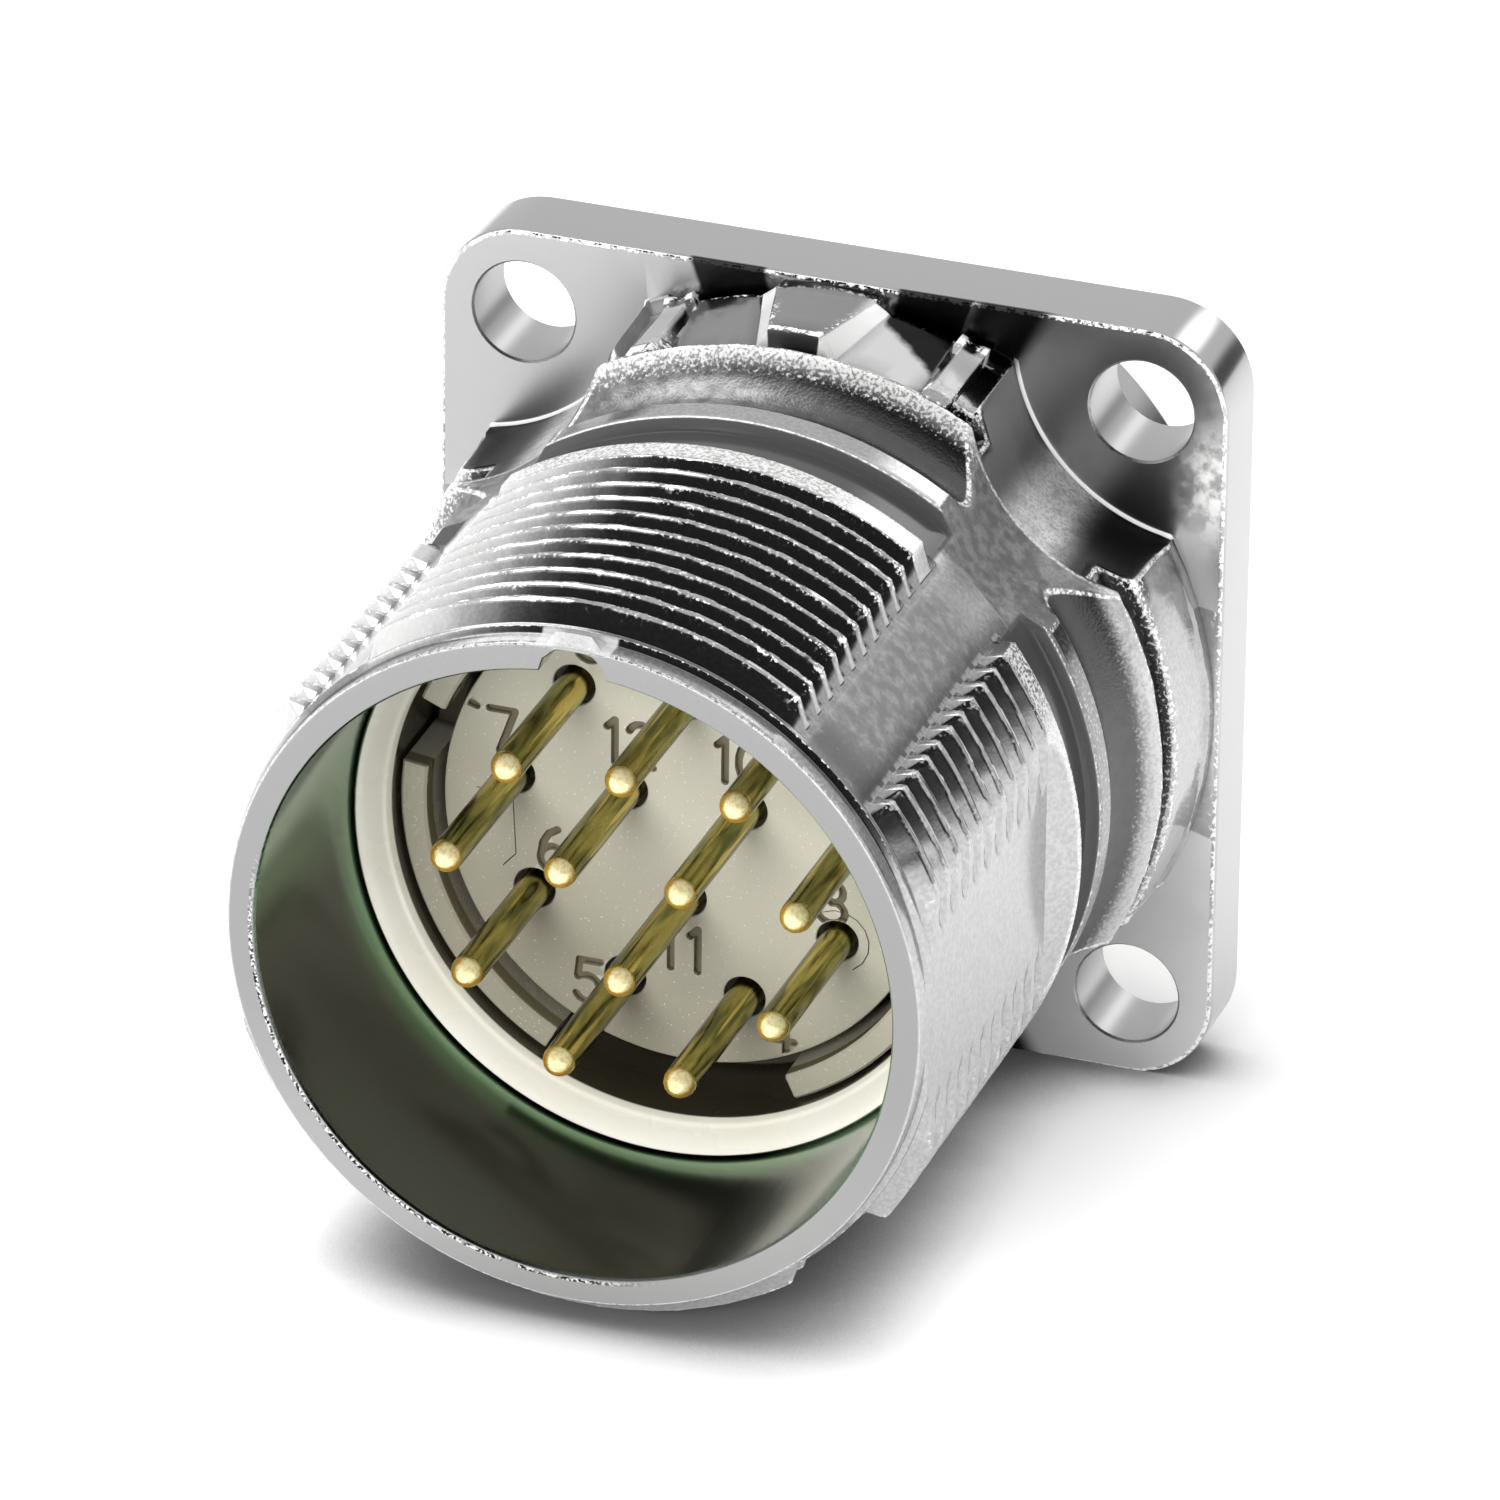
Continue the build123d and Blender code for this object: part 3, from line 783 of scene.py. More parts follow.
    def masks(self, at: Places, edge_light: dict[str, Value]) -> Masks:
        """Tell the parts of the shell apart by their places and by the painted highlights and shade along its
        edges.
        """
        inner, low, high = self.collar_edge
        cast = self.cast(at)
        calm = 1.0 - at.x.rise(7.0, 9.8, 0.0, 0.65) * at.station.rise(12.6, 12.8)
        kept = at.station.within(2.63, 2.78, 0.02) | at.station.rise(2.8, 2.9)
        edge = edge_light["Mask"] * (1.0 - cast) * kept * at.station.rise(24.3, 24.5, 1.0, 0.4) * calm
        facing = at.station.rise(self.rim - 0.03, self.rim - 0.01)
        top = at.x.within(-1.15, 1.15)
        notch = at.z.rise(9.5, 9.6) * at.radius.rise(10.58, 10.54) * top * (1.0 - facing)
        bead = at.z.rise(10.5, 10.6) * at.station.rise(24.2, 24.3) * top
        hole = at.hole.rise(self.hole_radius + 0.1, self.hole_radius + 0.04)
        face = at.part("flange_face")
        aside = 1.0 - at.folded.within(37.0, 52.8, 0.4)
        # Painted shade on the groove floor between the ring and the thread.
        floor = at.part("groove_floor") * aside
        # Painted light: the thread is painted paler toward its upper left.
        painted_sheen = at.part("thread") * at.x.rise(-1.0, -7.0, 0.0, 0.5) * at.z.rise(1.0, 4.0)
        # The painted highlight in the middle of a relief also loses its metal.
        shine = abs(at.folded - self.relief_middle).rise(9.0, 2.5, 0.0, 0.6) * at.relief.rise(6.08, 6.04)
        bore = at.radius.rise(self.bore_radius + 0.09, self.bore_radius + 0.03)
        sides = self.block_sides(at)
        back, ends, dull = self.ribs(at)
        plain = facing | hole | notch | bead | back | dull | sides | floor
        return Masks(
            cast,
            edge,
            hollow=edge_light["Hollow"] * (1.0 - cast) * 0.85 * calm,
            # Painted highlights: edges, lines and rib ends, and the block sides painted bright.
            bright=(edge | self.lines(at)) * (1.0 - plain) | ends | sides * 0.85,
            facing=facing,
            bead=bead,
            hole=hole,
            face=face,
            floor=floor,
            painted_sheen=painted_sheen * aside * at.radius.rise(10.7, 10.9),
            back=back,
            dull=dull,
            skin=at.radius.rise(inner, inner + 0.4, 0.0, 0.85) * at.station.within(low - 0.1, high, 0.04),
            patch=at.part("flange_patch") * at.mottle.rise(0.3, 0.6, 0.3, 0.9),
            shine=shine * at.station.within(2.85, 7.0),
            within=(bore | notch) * at.station.rise(11.6, 12.0),
        )

    def dark_patches(self, at: Places) -> tuple[Value, Value, Value]:
        """Masks of the darker end of the flats, of the grey clouds along them and of darker specks on the
        ring's right side.
        """
        foot = at.part("flat_foot") * at.mottle.rise(0.2, 0.45, 0.0, 0.8)
        clouds = at.part("flat_clouds") * at.mottle.rise(0.3, 0.62, 0.15, 0.75)
        ring = at.part("ring_side") * at.radius.rise(10.9, 11.1, 0.0, 0.85)
        return foot, clouds, ring * at.x.rise(5.5, 8.5) * at.speck.rise(0.62, 0.52)

    def tone(self, graph: Graph, vector: Value, at: Places, on: Masks) -> Value:
        """Colour of the shell, from the bare plate to the tinted bore."""
        fine = graph.noise(vector, 7.0, 4.0).rise(0.65, 0.35) * at.station.rise(2.9, 3.1)
        shaded_floor, lit_floor = self.pockets(at)
        flat_foot, flat_clouds, ring = self.dark_patches(at)
        lip = at.radius.within(self.bore_radius + 0.1, self.bore_radius + 0.22, 0.02) * on.facing
        lip = lip * at.z.rise(3.0, -2.0) * at.x.rise(3.0, 0.0) * at.mottle.rise(0.36, 0.46)
        return graph.coats(
            self.colour,
            (fine, self.dim_colour),
            (shaded_floor, self.shaded_pocket_floor),
            (lit_floor, self.lit_pocket_floor),
            # Painted light: the flange face is painted lighter toward the bottom.
            (on.face, graph.blend(at.z.rise(5.0, -4.0), self.face_colour, self.lower_face_light)),
            (flat_foot, self.cast_dark),
            (flat_clouds, self.shy_colour),
            # Painted highlight on the flange face near its upper right corner.
            (on.patch, self.bright_edge),
            (on.cast, self.relief_tone(graph, at)),
            # Painted shade in the hollows.
            (on.hollow, self.dark),
            # Painted shade on the groove floor.
            (on.floor, self.dull),
            # Painted light: the band round the collar is painted lighter toward the right.
            (on.skin, graph.blend(at.x.rise(6.0, 10.0), self.shy_colour, self.rib_colour)),
            # Painted light on the upper left of the thread and a painted highlight on the bead.
            (on.painted_sheen | on.bead * 0.3, self.bright_edge),
            # Rib backs painted a steady light grey, then the painted shadow beside the ribs.
            (on.back, self.rib_colour),
            (on.dull, self.shy_colour),
            (on.bright, self.bright_edge),
            # Painted shade in the recesses.
            (self.recess_shade(at), self.dark),
            (ring, self.shy_colour),
            # Painted shade on the rim face, painted lighter toward its bottom.
            (on.facing, graph.blend(at.z.rise(-1.0, -9.0), self.rim_shade, self.cast_light)),
            (lip, graph.blend(at.speck.rise(0.48, 0.54), self.dark, self.bright_edge)),
            (on.within, self.bore(graph, at)),
        )

    def shade(self, graph: Graph, vector: Value, surface: bpy.types.Node) -> None:
        """Plate with cast grain, painted highlights on broken edges, painted shade in places and a tinted
        bore.
        """
        at = self.places(graph, vector)
        grain = graph.group(cast_grain(), {"Vector": vector, "Size": self.grain_size})
        edge_light = graph.group(edge_highlight_and_shade(), {"Vector": vector, "Size": self.edge_patch_size, "Amount": 1.0})
        on = self.masks(at, edge_light)
        front = at.part("ring_front") * at.radius.rise(10.9, 10.95)
        rough = on.cast | front | on.hole | on.face * 0.6
        rough = rough.rise(0.0, 1.0, self.roughness, self.cast_roughness) | on.bright * self.edge_roughness
        # Where light and shade are painted, the plate loses most of its metal so the painted tone shows
        # steadily.
        pale = on.bright | on.skin | on.back | on.dull | on.floor | on.painted_sheen | on.bead | on.patch | on.shine
        # The lower right of the bore keeps little metal, so its painted green shows in place of a reflection.
        bore_matte = at.x.rise(3.0, 7.0, 0.0, 0.8) * at.z.rise(4.0, 0.0)
        outer = pale * (1.0 - on.within) | on.within * bore_matte
        height = grain["Height"] * (on.cast | on.edge).rise(0.0, 1.0, 0.05, 1.0)
        self.wire(surface, self.tone(graph, vector, at, on), rough, graph.bump(height, 0.016, 0.6))
        graph.feed(surface, {"Metallic": 1.0 - outer * self.painted})


@dataclass(frozen=True)
class GoldPlate(Finish):
    """Hard gold over turned brass, with long streaks, painted highlight streaks, painted dark reflection at
    the edges and painted highlights on the tips.
    """

    colour: Colour = (0.46, 0.39, 0.1, 1)
    deep: Colour = (0.13, 0.135, 0.03, 1)
    tip_colour: Colour = (1.0, 0.88, 0.5, 1)
    tip_edge: Colour = (0.58, 0.34, 0.04, 1)
    gleam_colour: Colour = (0.85, 0.66, 0.18, 1)
    shadow: Colour = (0.03, 0.042, 0.01, 1)
    roughness: float = 0.14
    tip: float = 21.25

    def shade(self, graph: Graph, vector: Value, surface: bpy.types.Node) -> None:
        """Gold with long soft streaks, and painted highlights on a paler, duller tip."""
        soft, thin = (
            graph.value("ShaderNodeVectorMath", {0: vector, 1: (1.0, share, 1.0)}, operation="MULTIPLY")
            for share in (0.12, 0.04)
        )
        streak = graph.noise(soft, 3.0, 3.0)
        gleam = graph.noise(thin, 4.0, 2.0).rise(0.56, 0.64, 0.0, 0.7)
        pits = graph.noise(vector, 9.0, 2.0).rise(0.45, 0.62, 0.0, 0.35)
        painted_sheen = (graph.split(vector)[1] * -1.0).rise(self.tip - 0.5, self.tip - 0.28)
        slant = graph.value("ShaderNodeLayerWeight", {"Blend": 0.5}, "Facing")
        colour = graph.coats(
            self.deep,
            (streak.rise(0.35, 0.65), self.colour),
            # Painted highlight streaks, painted dark reflection where the pin turns away, and the painted tip
            # highlight with its orange rim.
            (gleam, self.gleam_colour),
            (slant.rise(0.66, 0.92, 0.0, 0.9), self.shadow),
            (painted_sheen, graph.blend(slant.rise(0.18, 0.45) + pits, self.tip_colour, self.tip_edge)),
        )
        rough = streak.rise(0.3, 0.7, self.roughness, self.roughness * 2) + painted_sheen * 0.12
        self.wire(surface, colour, rough, graph.bump(streak, 0.01, 0.3))
        graph.feed(surface, {"Metallic": painted_sheen.rise(0.0, 1.0, 1.0, 0.45)})


@dataclass(frozen=True)
class Moulding(Finish):
    """Base of the plastic and rubber finishes: grain, and gloss that varies with its cloud."""

    colour: Colour = grey(0.5)
    roughness: float = 0.3
    grain_size: float = 0.12
    cloud: float = 0.1
    relief: Span = (0.008, 0.5)

    def tone(self, graph: Graph, vector: Value, grain: dict[str, Value]) -> Value:
        """Colour of the surface."""
        raise NotImplementedError

    def shade(self, graph: Graph, vector: Value, surface: bpy.types.Node) -> None:
        """Coloured surface with a cloudy gloss and a fine grain."""
        grain = graph.group(cast_grain(), {"Vector": vector, "Size": self.grain_size})
        rough = grain["Cloud"].rise(0.3, 0.7, self.roughness, self.roughness + self.cloud)
        self.wire(surface, self.tone(graph, vector, grain), rough, graph.bump(grain["Height"], *self.relief))


@dataclass(frozen=True)
class BeigePlastic(Moulding):
    """Filled beige moulding with pale specks painted as glints, painted paler toward the upper right, with
    painted edge highlights, and painted shade in its engraving, its hollows and on its outer wall.
    """

    colour: Colour = (0.36, 0.335, 0.26, 1)
    pale: Colour = (0.56, 0.535, 0.44, 1)
    glint: Colour = (0.95, 0.93, 0.86, 1)
    engraved: Colour = (0.17, 0.145, 0.09, 1)
    dark: Colour = (0.045, 0.038, 0.024, 1)
    roughness: float = 0.34
    painted_sheen: float = 0.3
    edge_patch_size: float = 0.3
    face: float = 15.2
    wall: float = 14.9
    channel: Span = (8.5, 13.3)

    def tone(self, graph: Graph, vector: Value, grain: dict[str, Value]) -> Value:
        """Soft tone with painted glints, painted light toward the upper right, and painted shade below the
        face.
        """
        edge_light = graph.group(edge_highlight_and_shade(), {"Vector": vector, "Size": self.edge_patch_size, "Amount": self.painted_sheen})
        x, y, z = graph.split(vector)
        station = y * -1.0
        rare = graph.noise(vector, 5.0, 3.0).rise(0.5, 0.6) * 0.6
        return graph.coats(
            self.colour,
            ((x * 0.6 + z).rise(-8.0, 3.0), self.pale),
            (grain["Speck"] * rare, self.glint),
            (edge_light["Hollow"] * 0.9, self.dark),
            (edge_light["Mask"], self.glint),
            (station.within(self.wall, self.face - 0.12, 0.06), self.engraved),
            (station.within(*self.channel, 0.3), self.dark),
        )


@dataclass(frozen=True)
class WallPlastic(BeigePlastic):
    """Same moulding on the coding ring, glossier, without painted edge highlights, and with painted shade on
    its lower walls.
    """

    roughness: float = 0.18
    painted_sheen: float = 0.0
    face: float = 15.9
    wall: float = 15.3


@dataclass(frozen=True)
class CreamPlastic(Moulding):
    """Smooth cream moulding with a soft gloss and painted shade on its inner wall."""

    colour: Colour = (0.93, 0.91, 0.82, 1)
    warm: Colour = (0.9, 0.86, 0.72, 1)
    dark: Colour = (0.045, 0.038, 0.024, 1)
    roughness: float = 0.22
    grain_size: float = 0.3
    relief: Span = (0.01, 0.2)
    coat: float = 0.4
    wall_radius: float = 8.85

    def tone(self, graph: Graph, vector: Value, grain: dict[str, Value]) -> Value:
        """Faint warm cloud, and painted shade where the inner wall drops away."""
        x, _, z = graph.split(vector)
        wall = graph.reach(x, z).rise(self.wall_radius + 0.035, self.wall_radius + 0.015)
        return graph.coats(self.colour, (grain["Cloud"].rise(0.3, 0.9), self.warm), (wall, self.dark))

    def shade(self, graph: Graph, vector: Value, surface: bpy.types.Node) -> None:
        """Moulding under a thin clear coat."""
        super().shade(graph, vector, surface)
        surface.inputs["Coat Weight"].default_value = self.coat


@dataclass(frozen=True)
class SealRubber(Moulding):
    """Dark green-black rubber with a dusty bloom."""

    colour: Colour = (0.018, 0.02, 0.018, 1)
    bloom: Colour = (0.07, 0.075, 0.07, 1)
    roughness: float = 0.55
    grain_size: float = 0.25
    cloud: float = 0.2
    relief: Span = (0.02, 0.4)

    def tone(self, graph: Graph, vector: Value, grain: dict[str, Value]) -> Value:
        """Patchy bloom."""
        return graph.blend(grain["Cloud"].rise(0.4, 0.7), self.colour, self.bloom)


def place(piece: bpy.types.Object, finish: Finish, slot: Slot, *nodes: str) -> None:
    """Give a piece its finish and its body, and hide the nodes that it stands for."""
    piece.data.materials.clear()
    piece.data.materials.append(finish.material())
    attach(piece, "root")
    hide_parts(*nodes)
    LOG.info("%s: %d faces, for %s", piece.name, len(piece.data.polygons), ", ".join(nodes))


def spaced(marks: Sequence[float], step: float) -> np.ndarray:
    """Values from the first mark to the last that meet every mark."""
    values = [marks[0]]
    for start, end in zip(marks, marks[1:]):
        count = max(1, round((end - start) / step))
        values += np.linspace(start, end, count + 1)[1:].tolist()
    return np.array(values)


class Columns:
    """Angles of the mesh columns round the shell, folded to a quarter from the vertical."""

    def __init__(self, marks: Sequence[float], step: float) -> None:
        quarter = spaced(marks, step)
        ahead, back = quarter[:-1], quarter[:0:-1]
        self.folded = np.concatenate([ahead, back, ahead, back])
        ones = np.ones(len(ahead))
        self.sign = np.concatenate([ones, -ones, ones, -ones])
        self.start = np.concatenate([0 * ones, 180 * ones, 180 * ones, 360 * ones])
        self.top = (self.start == 0) | (self.start == 360)
        self.count = len(self.folded)

    def degrees(self, folded: np.ndarray | None = None) -> np.ndarray:
        """Full angles from +Z toward +X, of the columns or of other folded angles."""
        return self.start + self.sign * (self.folded if folded is None else folded)


@dataclass
class Shell:
    """Die-cast shell in one mesh: flange, collar, rings, thread, bore and spigot."""

    thread_radius: float = 11.5
    thread_depth: float = 0.61
    pitch: float = 1.0
    crest_flat: float = 0.26
    ridge_count: int = 10
    first_crest: float = 1.4
    rim: float = 25.0
    rim_land: float = 0.65
    rim_wall: float = 0.89
    bore_radius: float = 9.8
    web_radius: float = 8.85
    web: Span = (10.5, 11.5)
    rear_bore_radius: float = 9.1
    spigot_radius: float = 10.1
    spigot_length: float = 5.0
    seal_groove: Triple = (10.62, 11.72, 1.0)
    ring_radius: float = 11.33
    ring: Span = (9.45, 10.55)
    collar_radius: float = 12.05
    collar: Span = (6.85, 7.1)
    slot_radius: float = 11.3
    slot_back: float = 5.85
    base_radius: float = 12.3
    base_step: float = 3.2
    block_radius: float = 12.3
    flange: float = 25.0
    flange_thickness: float = 2.7
    corner: float = 2.7
    edge_round: float = 0.15
    hole_pitch: float = 19.6
    hole_radius: float = 1.625
    hole_break: float = 0.07
    scallop_at: float = 11.75
    scallop_radius: float = 6.0
    scallop_end: float = 11.4
    relief: float = 12.3
    thread_end: float = 12.75
    flat: float = 10.66
    ramp_degrees: Span = (33.8, 37.6)
    wall_degrees: Span = (52.5, 53.8)
    block_degrees: Span = (2.8, 7.2)
    block_side: float = 2.4
    rib_degrees: Span = (20.0, 24.8)
    knob_degrees: Span = (20.5, 24.4)
    widest: float = 12.42
    keyway: Span = (1.0, 10.5)
    bead: float = 0.38
    crest_grit: float = 0.007
    collar_grit: float = 0.012
    base_grit: float = 0.008

    def __post_init__(self) -> None:
        side = self.block_degrees[0] + self.block_side
        marks = [0, self.block_degrees[0], side, 8, 16, 19.8, 20.2, 21.2, 23.6, 24.6, 25.0, 28.0, 28.4]
        marks += [33.1, 33.8, 37.4, 37.8, 45, 52.3, 52.7, 53.6, 54, 56.9, 61.8, 68, 78.2, 90]
        self.columns = Columns(marks, 0.95)
        self.root_radius = self.thread_radius - self.thread_depth
        self.rim_radius = self.bore_radius + self.rim_wall
        self.random = np.random.default_rng(23)

    def grit(self, size: float) -> np.ndarray:
        """Small random rise for each column."""
        raw = self.random.standard_normal(self.columns.count)
        return size * (raw + np.roll(raw, 1) + np.roll(raw, -1)) / math.sqrt(3)

    def scallop(self, station: float) -> np.ndarray:
        """Distance from the axis to the corner relief along each column."""
        reach = self.scallop_at * math.sqrt(2)
        size = self.scallop_radius - 0.1 * (1 - ease(station, 2.7, 2.85))
        off = np.radians(self.columns.folded - 45)
        rest = size**2 - (reach * np.sin(off)) ** 2
        return np.where(rest > 0, reach * np.cos(off) - np.sqrt(np.maximum(rest, 0)), np.inf)

    def thread_rows(self) -> list[tuple[np.ndarray, float]]:
        """Rim land, ridges and crest land, with channels, flats and the bead over the keyway."""
        land_end, root, top = self.rim - self.rim_land, self.root_radius, self.thread_radius
        corners = [(self.bore_radius + 0.08, self.rim, 0), (self.rim_radius, self.rim, 0.14)]
        corners += [(self.rim_radius, land_end, 0.06)]
        corners += [(root, land_end - 0.1, 0.04), (root, land_end - 0.25, 0.03)]
        half = self.crest_flat / 2
        crest = self.rim - self.first_crest
        for _ in range(self.ridge_count):
            corners += [(top, crest + half, 0.115), (top, crest - half, 0.115)]
            corners += [(root, crest - self.pitch / 2, 0.13)]
            crest -= self.pitch
        corners += [(top, crest + half, 0.07), (top, self.thread_end, 0.1), (root, self.relief, 0.1)]
        corners += [(root, self.scallop_end + 0.03, 0)]
        folded = self.columns.folded
        rise = ramp(folded, *self.wall_degrees) + 1 - ramp(folded, *self.ramp_degrees)
        turned = np.radians(self.columns.degrees())
        flat = self.flat / np.maximum(np.abs(np.sin(turned)), 0.2)
        rows = []
        for radius, station in rounded(corners):
            proud = radius - self.root_radius
            radii = self.root_radius + (proud * rise if proud > 0 else np.full(folded.shape, proud))
            if proud > 0.3 and station > self.thread_end + 0.2:
                radii = radii + self.grit(self.crest_grit) * rise
            if station > self.thread_end + 0.15:
                radii = np.minimum(radii, flat)
            if station > land_end and radius > self.rim_radius - 0.2:
                swell = 1 - ease(folded, 2.6, 4.6)
                level = ease(station, land_end, land_end + 0.15)
                level = level * (1 - ease(station, self.rim - 0.15, self.rim))
                radii = radii + np.where(self.columns.top, self.bead * swell * level, 0)
            rows.append((radii, station))
        return rows

    def ring_rows(self) -> list[tuple[np.ndarray, float]]:
        """Relief floor, second ring, valley and front of the collar, with the corner reliefs."""
        (back, front), root, ring, collar = self.ring, self.root_radius, self.ring_radius, self.collar_radius
        corners = [(root, self.scallop_end, 0), (root, front + 0.1, 0.1), (ring - 0.04, front, 0.08)]
        corners += [(ring, front - 0.1, 0.05), (ring, back + 0.08, 0.06), (ring - 0.1, back, 0.05)]
        corners += [(root + 0.06, back - 0.5, 0.2), (root + 0.02, back - 0.9, 0.15)]
        corners += [(root + up, back - on, 0.2) for up, on in ((0.12, 1.3), (0.32, 1.68), (0.62, 2.04))]
        corners += [(collar - 0.2, self.collar[1] + 0.06, 0.12), (collar, self.collar[1] - 0.12, 0.12)]
        corners += [(collar, self.collar[0], 0)]
        rows = []
        for radius, station in rounded(corners):
            radii = radius + self.grit(self.collar_grit) if radius > collar - 0.3 else radius
            rows.append((np.minimum(radii, self.scallop(station)), station))
        return rows

    def collar_rows(self) -> list[tuple[np.ndarray, float, np.ndarray]]:
        """Slot, block, pockets, ribs and base, down to the flange."""
        low, high, foot, step = self.slot_radius, self.base_radius, self.slot_back, self.base_step
        base = [(low, station) for station in (self.collar[0], 6.5, 6.25, 6.15)]
        base += [(low + 0.02, foot + 0.06), (low + 0.08, foot)]
        lower = ((0.35, foot), (0.2, foot - 0.06), (0.15, foot - 0.2), (0.13, 5.1), (0.12, 4.5), (0.1, 4.1))
        lower += ((0.09, 3.9), (0.08, 3.6), (0.07, step + 0.12), (0.03, step), (0, step - 0.06), (0, 2.95))
        base += [(high - under, station) for under, station in lower]
        base += [(high, 2.8), (high + 0.02, self.flange_thickness)]
        rows = []
        for radius, station in base:
            share = ramp(station, self.collar[0], step)
            start, end = self.block_degrees
            edge = start + (end - start) * share
            marks = [0, start, start + self.block_side, 16, 90]
            folded = np.interp(self.columns.folded, marks, [0, edge, edge + self.block_side, 16, 90])
            radii = np.where(folded < 28.2, radius - 0.4 * ease(station, 2.7, 2.9), radius)
            radii = np.where(folded < self.rib_degrees[1], self.ribs(station, folded), radii)
            radii = np.where(folded < self.rib_degrees[0], self.blocks(station, folded, edge, share), radii)
            radii = np.minimum(radii + self.grit(self.base_grit), self.scallop(station))
            rows.append((np.minimum(radii, self.widest), station, self.columns.degrees(folded)))
        return rows

    def blocks(self, station: float, folded: np.ndarray, edge: float, share: float) -> np.ndarray:
        """Radii of the block and of the pocket beside it.

        Args:
            station: Station of the row.
            folded: Folded angle of each column.
            edge: Angle at which the side of the block begins.
            share: How far the floor has risen on its way to the base.
        """
        ahead = ease(station, 6.15, 6.25)
        block = self.block_radius + (self.slot_radius - 0.35 - self.block_radius) * ahead
        floor = self.slot_radius + 0.75 * share - 0.4 * ease(station, 3.15, 3.0)
        side = ramp(folded, edge, edge + self.block_side)
        pocket = block + (floor - block) * side
        return np.where((side > 0) & (ahead > 0), np.minimum(pocket, floor), pocket)

    def ribs(self, station: float, folded: np.ndarray) -> np.ndarray:
        """Radii of a pair of ribs, with a knob at the foot of each."""
        radii = self.block_radius - 0.2 + 0.0 * folded
        for at in self.knob_degrees:
            spread = ((folded - at) * 0.21 / 0.3) ** 2 + ((station - 3.1) / 0.35) ** 2
            radii = radii + 0.25 * np.exp(-spread)
        return radii - 0.35 * ease(station, 3.3, 3.7) * (1 - ease(folded, 20.2, 21.2))

    def bore_rows(self) -> list[tuple[Level, float]]:
        """Seal groove, spigot, rear bore, web and bore with the keyway, from the back forward."""
        inner, outer, depth = self.seal_groove
        (low, high), web, end = self.web, self.web_radius, -self.spigot_length
        corners = [(outer, 0, 0), (outer, depth, 0.05), (inner, depth, 0.05), (inner, 0, 0.05)]
        corners += [(self.spigot_radius, 0, 0.1), (self.spigot_radius, end, 0.3)]
        corners += [(self.rear_bore_radius, end, 0.2), (self.rear_bore_radius, low, 0)]
        corners += [(web, low, 0.04), (web, high, 0.04), (web + 0.1, high, 0)]
        half, deep = self.keyway
        turned = np.radians(self.columns.degrees())
        notch = np.clip(half / np.maximum(np.abs(np.sin(turned)), 1e-6), self.bore_radius, deep)
        across = np.abs(deep * np.sin(turned))
        notch = notch - 0.35 * ease(across, 0.45, 1.05) * (notch > self.bore_radius + 0.01)
        notch = np.where(self.columns.top, np.maximum(notch, self.bore_radius), self.bore_radius)
        stations = (high, 13.5, 15.5, 17.2, 18.2, 19.5, 21.0, 22.5, 23.8, 24.6, 24.92)
        return [*rounded(corners), *((notch, station) for station in stations), (notch + 0.06, self.rim)]

    def border(self, inset: float) -> Outline:
        """Rounded square of the flange, from the top clockwise as seen from the front."""
        half, size = self.flange / 2 - inset, self.corner - inset
        points: Outline = []
        for quarter, (sx, sz) in enumerate(((1, 1), (1, -1), (-1, -1), (-1, 1))):
            middle = (sx * (half - size), sz * (half - size))
            turns = np.linspace(90 * quarter, 90 * quarter + 90, 19)
            arc = [(middle[0] + x, middle[1] + z) for x, z in (polar(size, turn) for turn in turns)]
            if points:
                points += self.between(points[-1], arc[0], 40)
            points += arc
        return points + self.between(points[-1], points[0], 40)

    @staticmethod
    def between(start: Span, end: Span, count: int) -> Outline:
        """Points inside a straight edge."""
        shares = np.linspace(0, 1, count + 2)[1:-1]
        return [(start[0] + (end[0] - start[0]) * t, start[1] + (end[1] - start[1]) * t) for t in shares]

    def add_flange(self, draft: Draft, front_hole: list[int], back_hole: list[int]) -> None:
        """Flange plate with its four holes, joined to the barrel and to the seal groove."""
        full, soft = self.flange_thickness, self.edge_round
        steps = [(soft, full), (soft * 0.3, full - soft * 0.3), (0, full - soft), (0, full * 0.5)]
        steps += [(0, soft), (soft * 0.3, soft * 0.3), (soft, 0)]
        sides = [draft.ring(self.border(inset), station) for inset, station in steps]
        draft.loft(sides)
        half, size, wide = self.hole_pitch / 2, self.hole_radius, self.hole_radius + self.hole_break
        corners = [(half, half), (half, -half), (-half, -half), (-half, half)]
        sections = [(wide, 0), (size, 0.08), (size, full - 0.08), (wide, full)]
        backs, fronts = draft.bores(corners, sections, 7.5)
        draft.plate(sides[0], [front_hole, *fronts], front=True)
        draft.plate(sides[-1], [back_hole, *backs], front=False)

    def build(self) -> bpy.types.Object:
        """Mesh of the whole shell."""
        draft = Draft()
        straight = self.columns.degrees()
        rows = [*self.bore_rows(), *self.thread_rows()[1:], *self.ring_rows()]
        rings = [draft.wrap(radii, station, straight) for radii, station in rows]
        rings += [draft.wrap(*row) for row in self.collar_rows()]
        draft.loft(rings)
        self.add_flange(draft, rings[-1], rings[0])
        return draft.build("shell", 34)

    def dress(self, piece: bpy.types.Object) -> None:
        """Nickel plate on the shell."""
        place(piece, NickelPlate(), Slot.NICKEL, "housing")


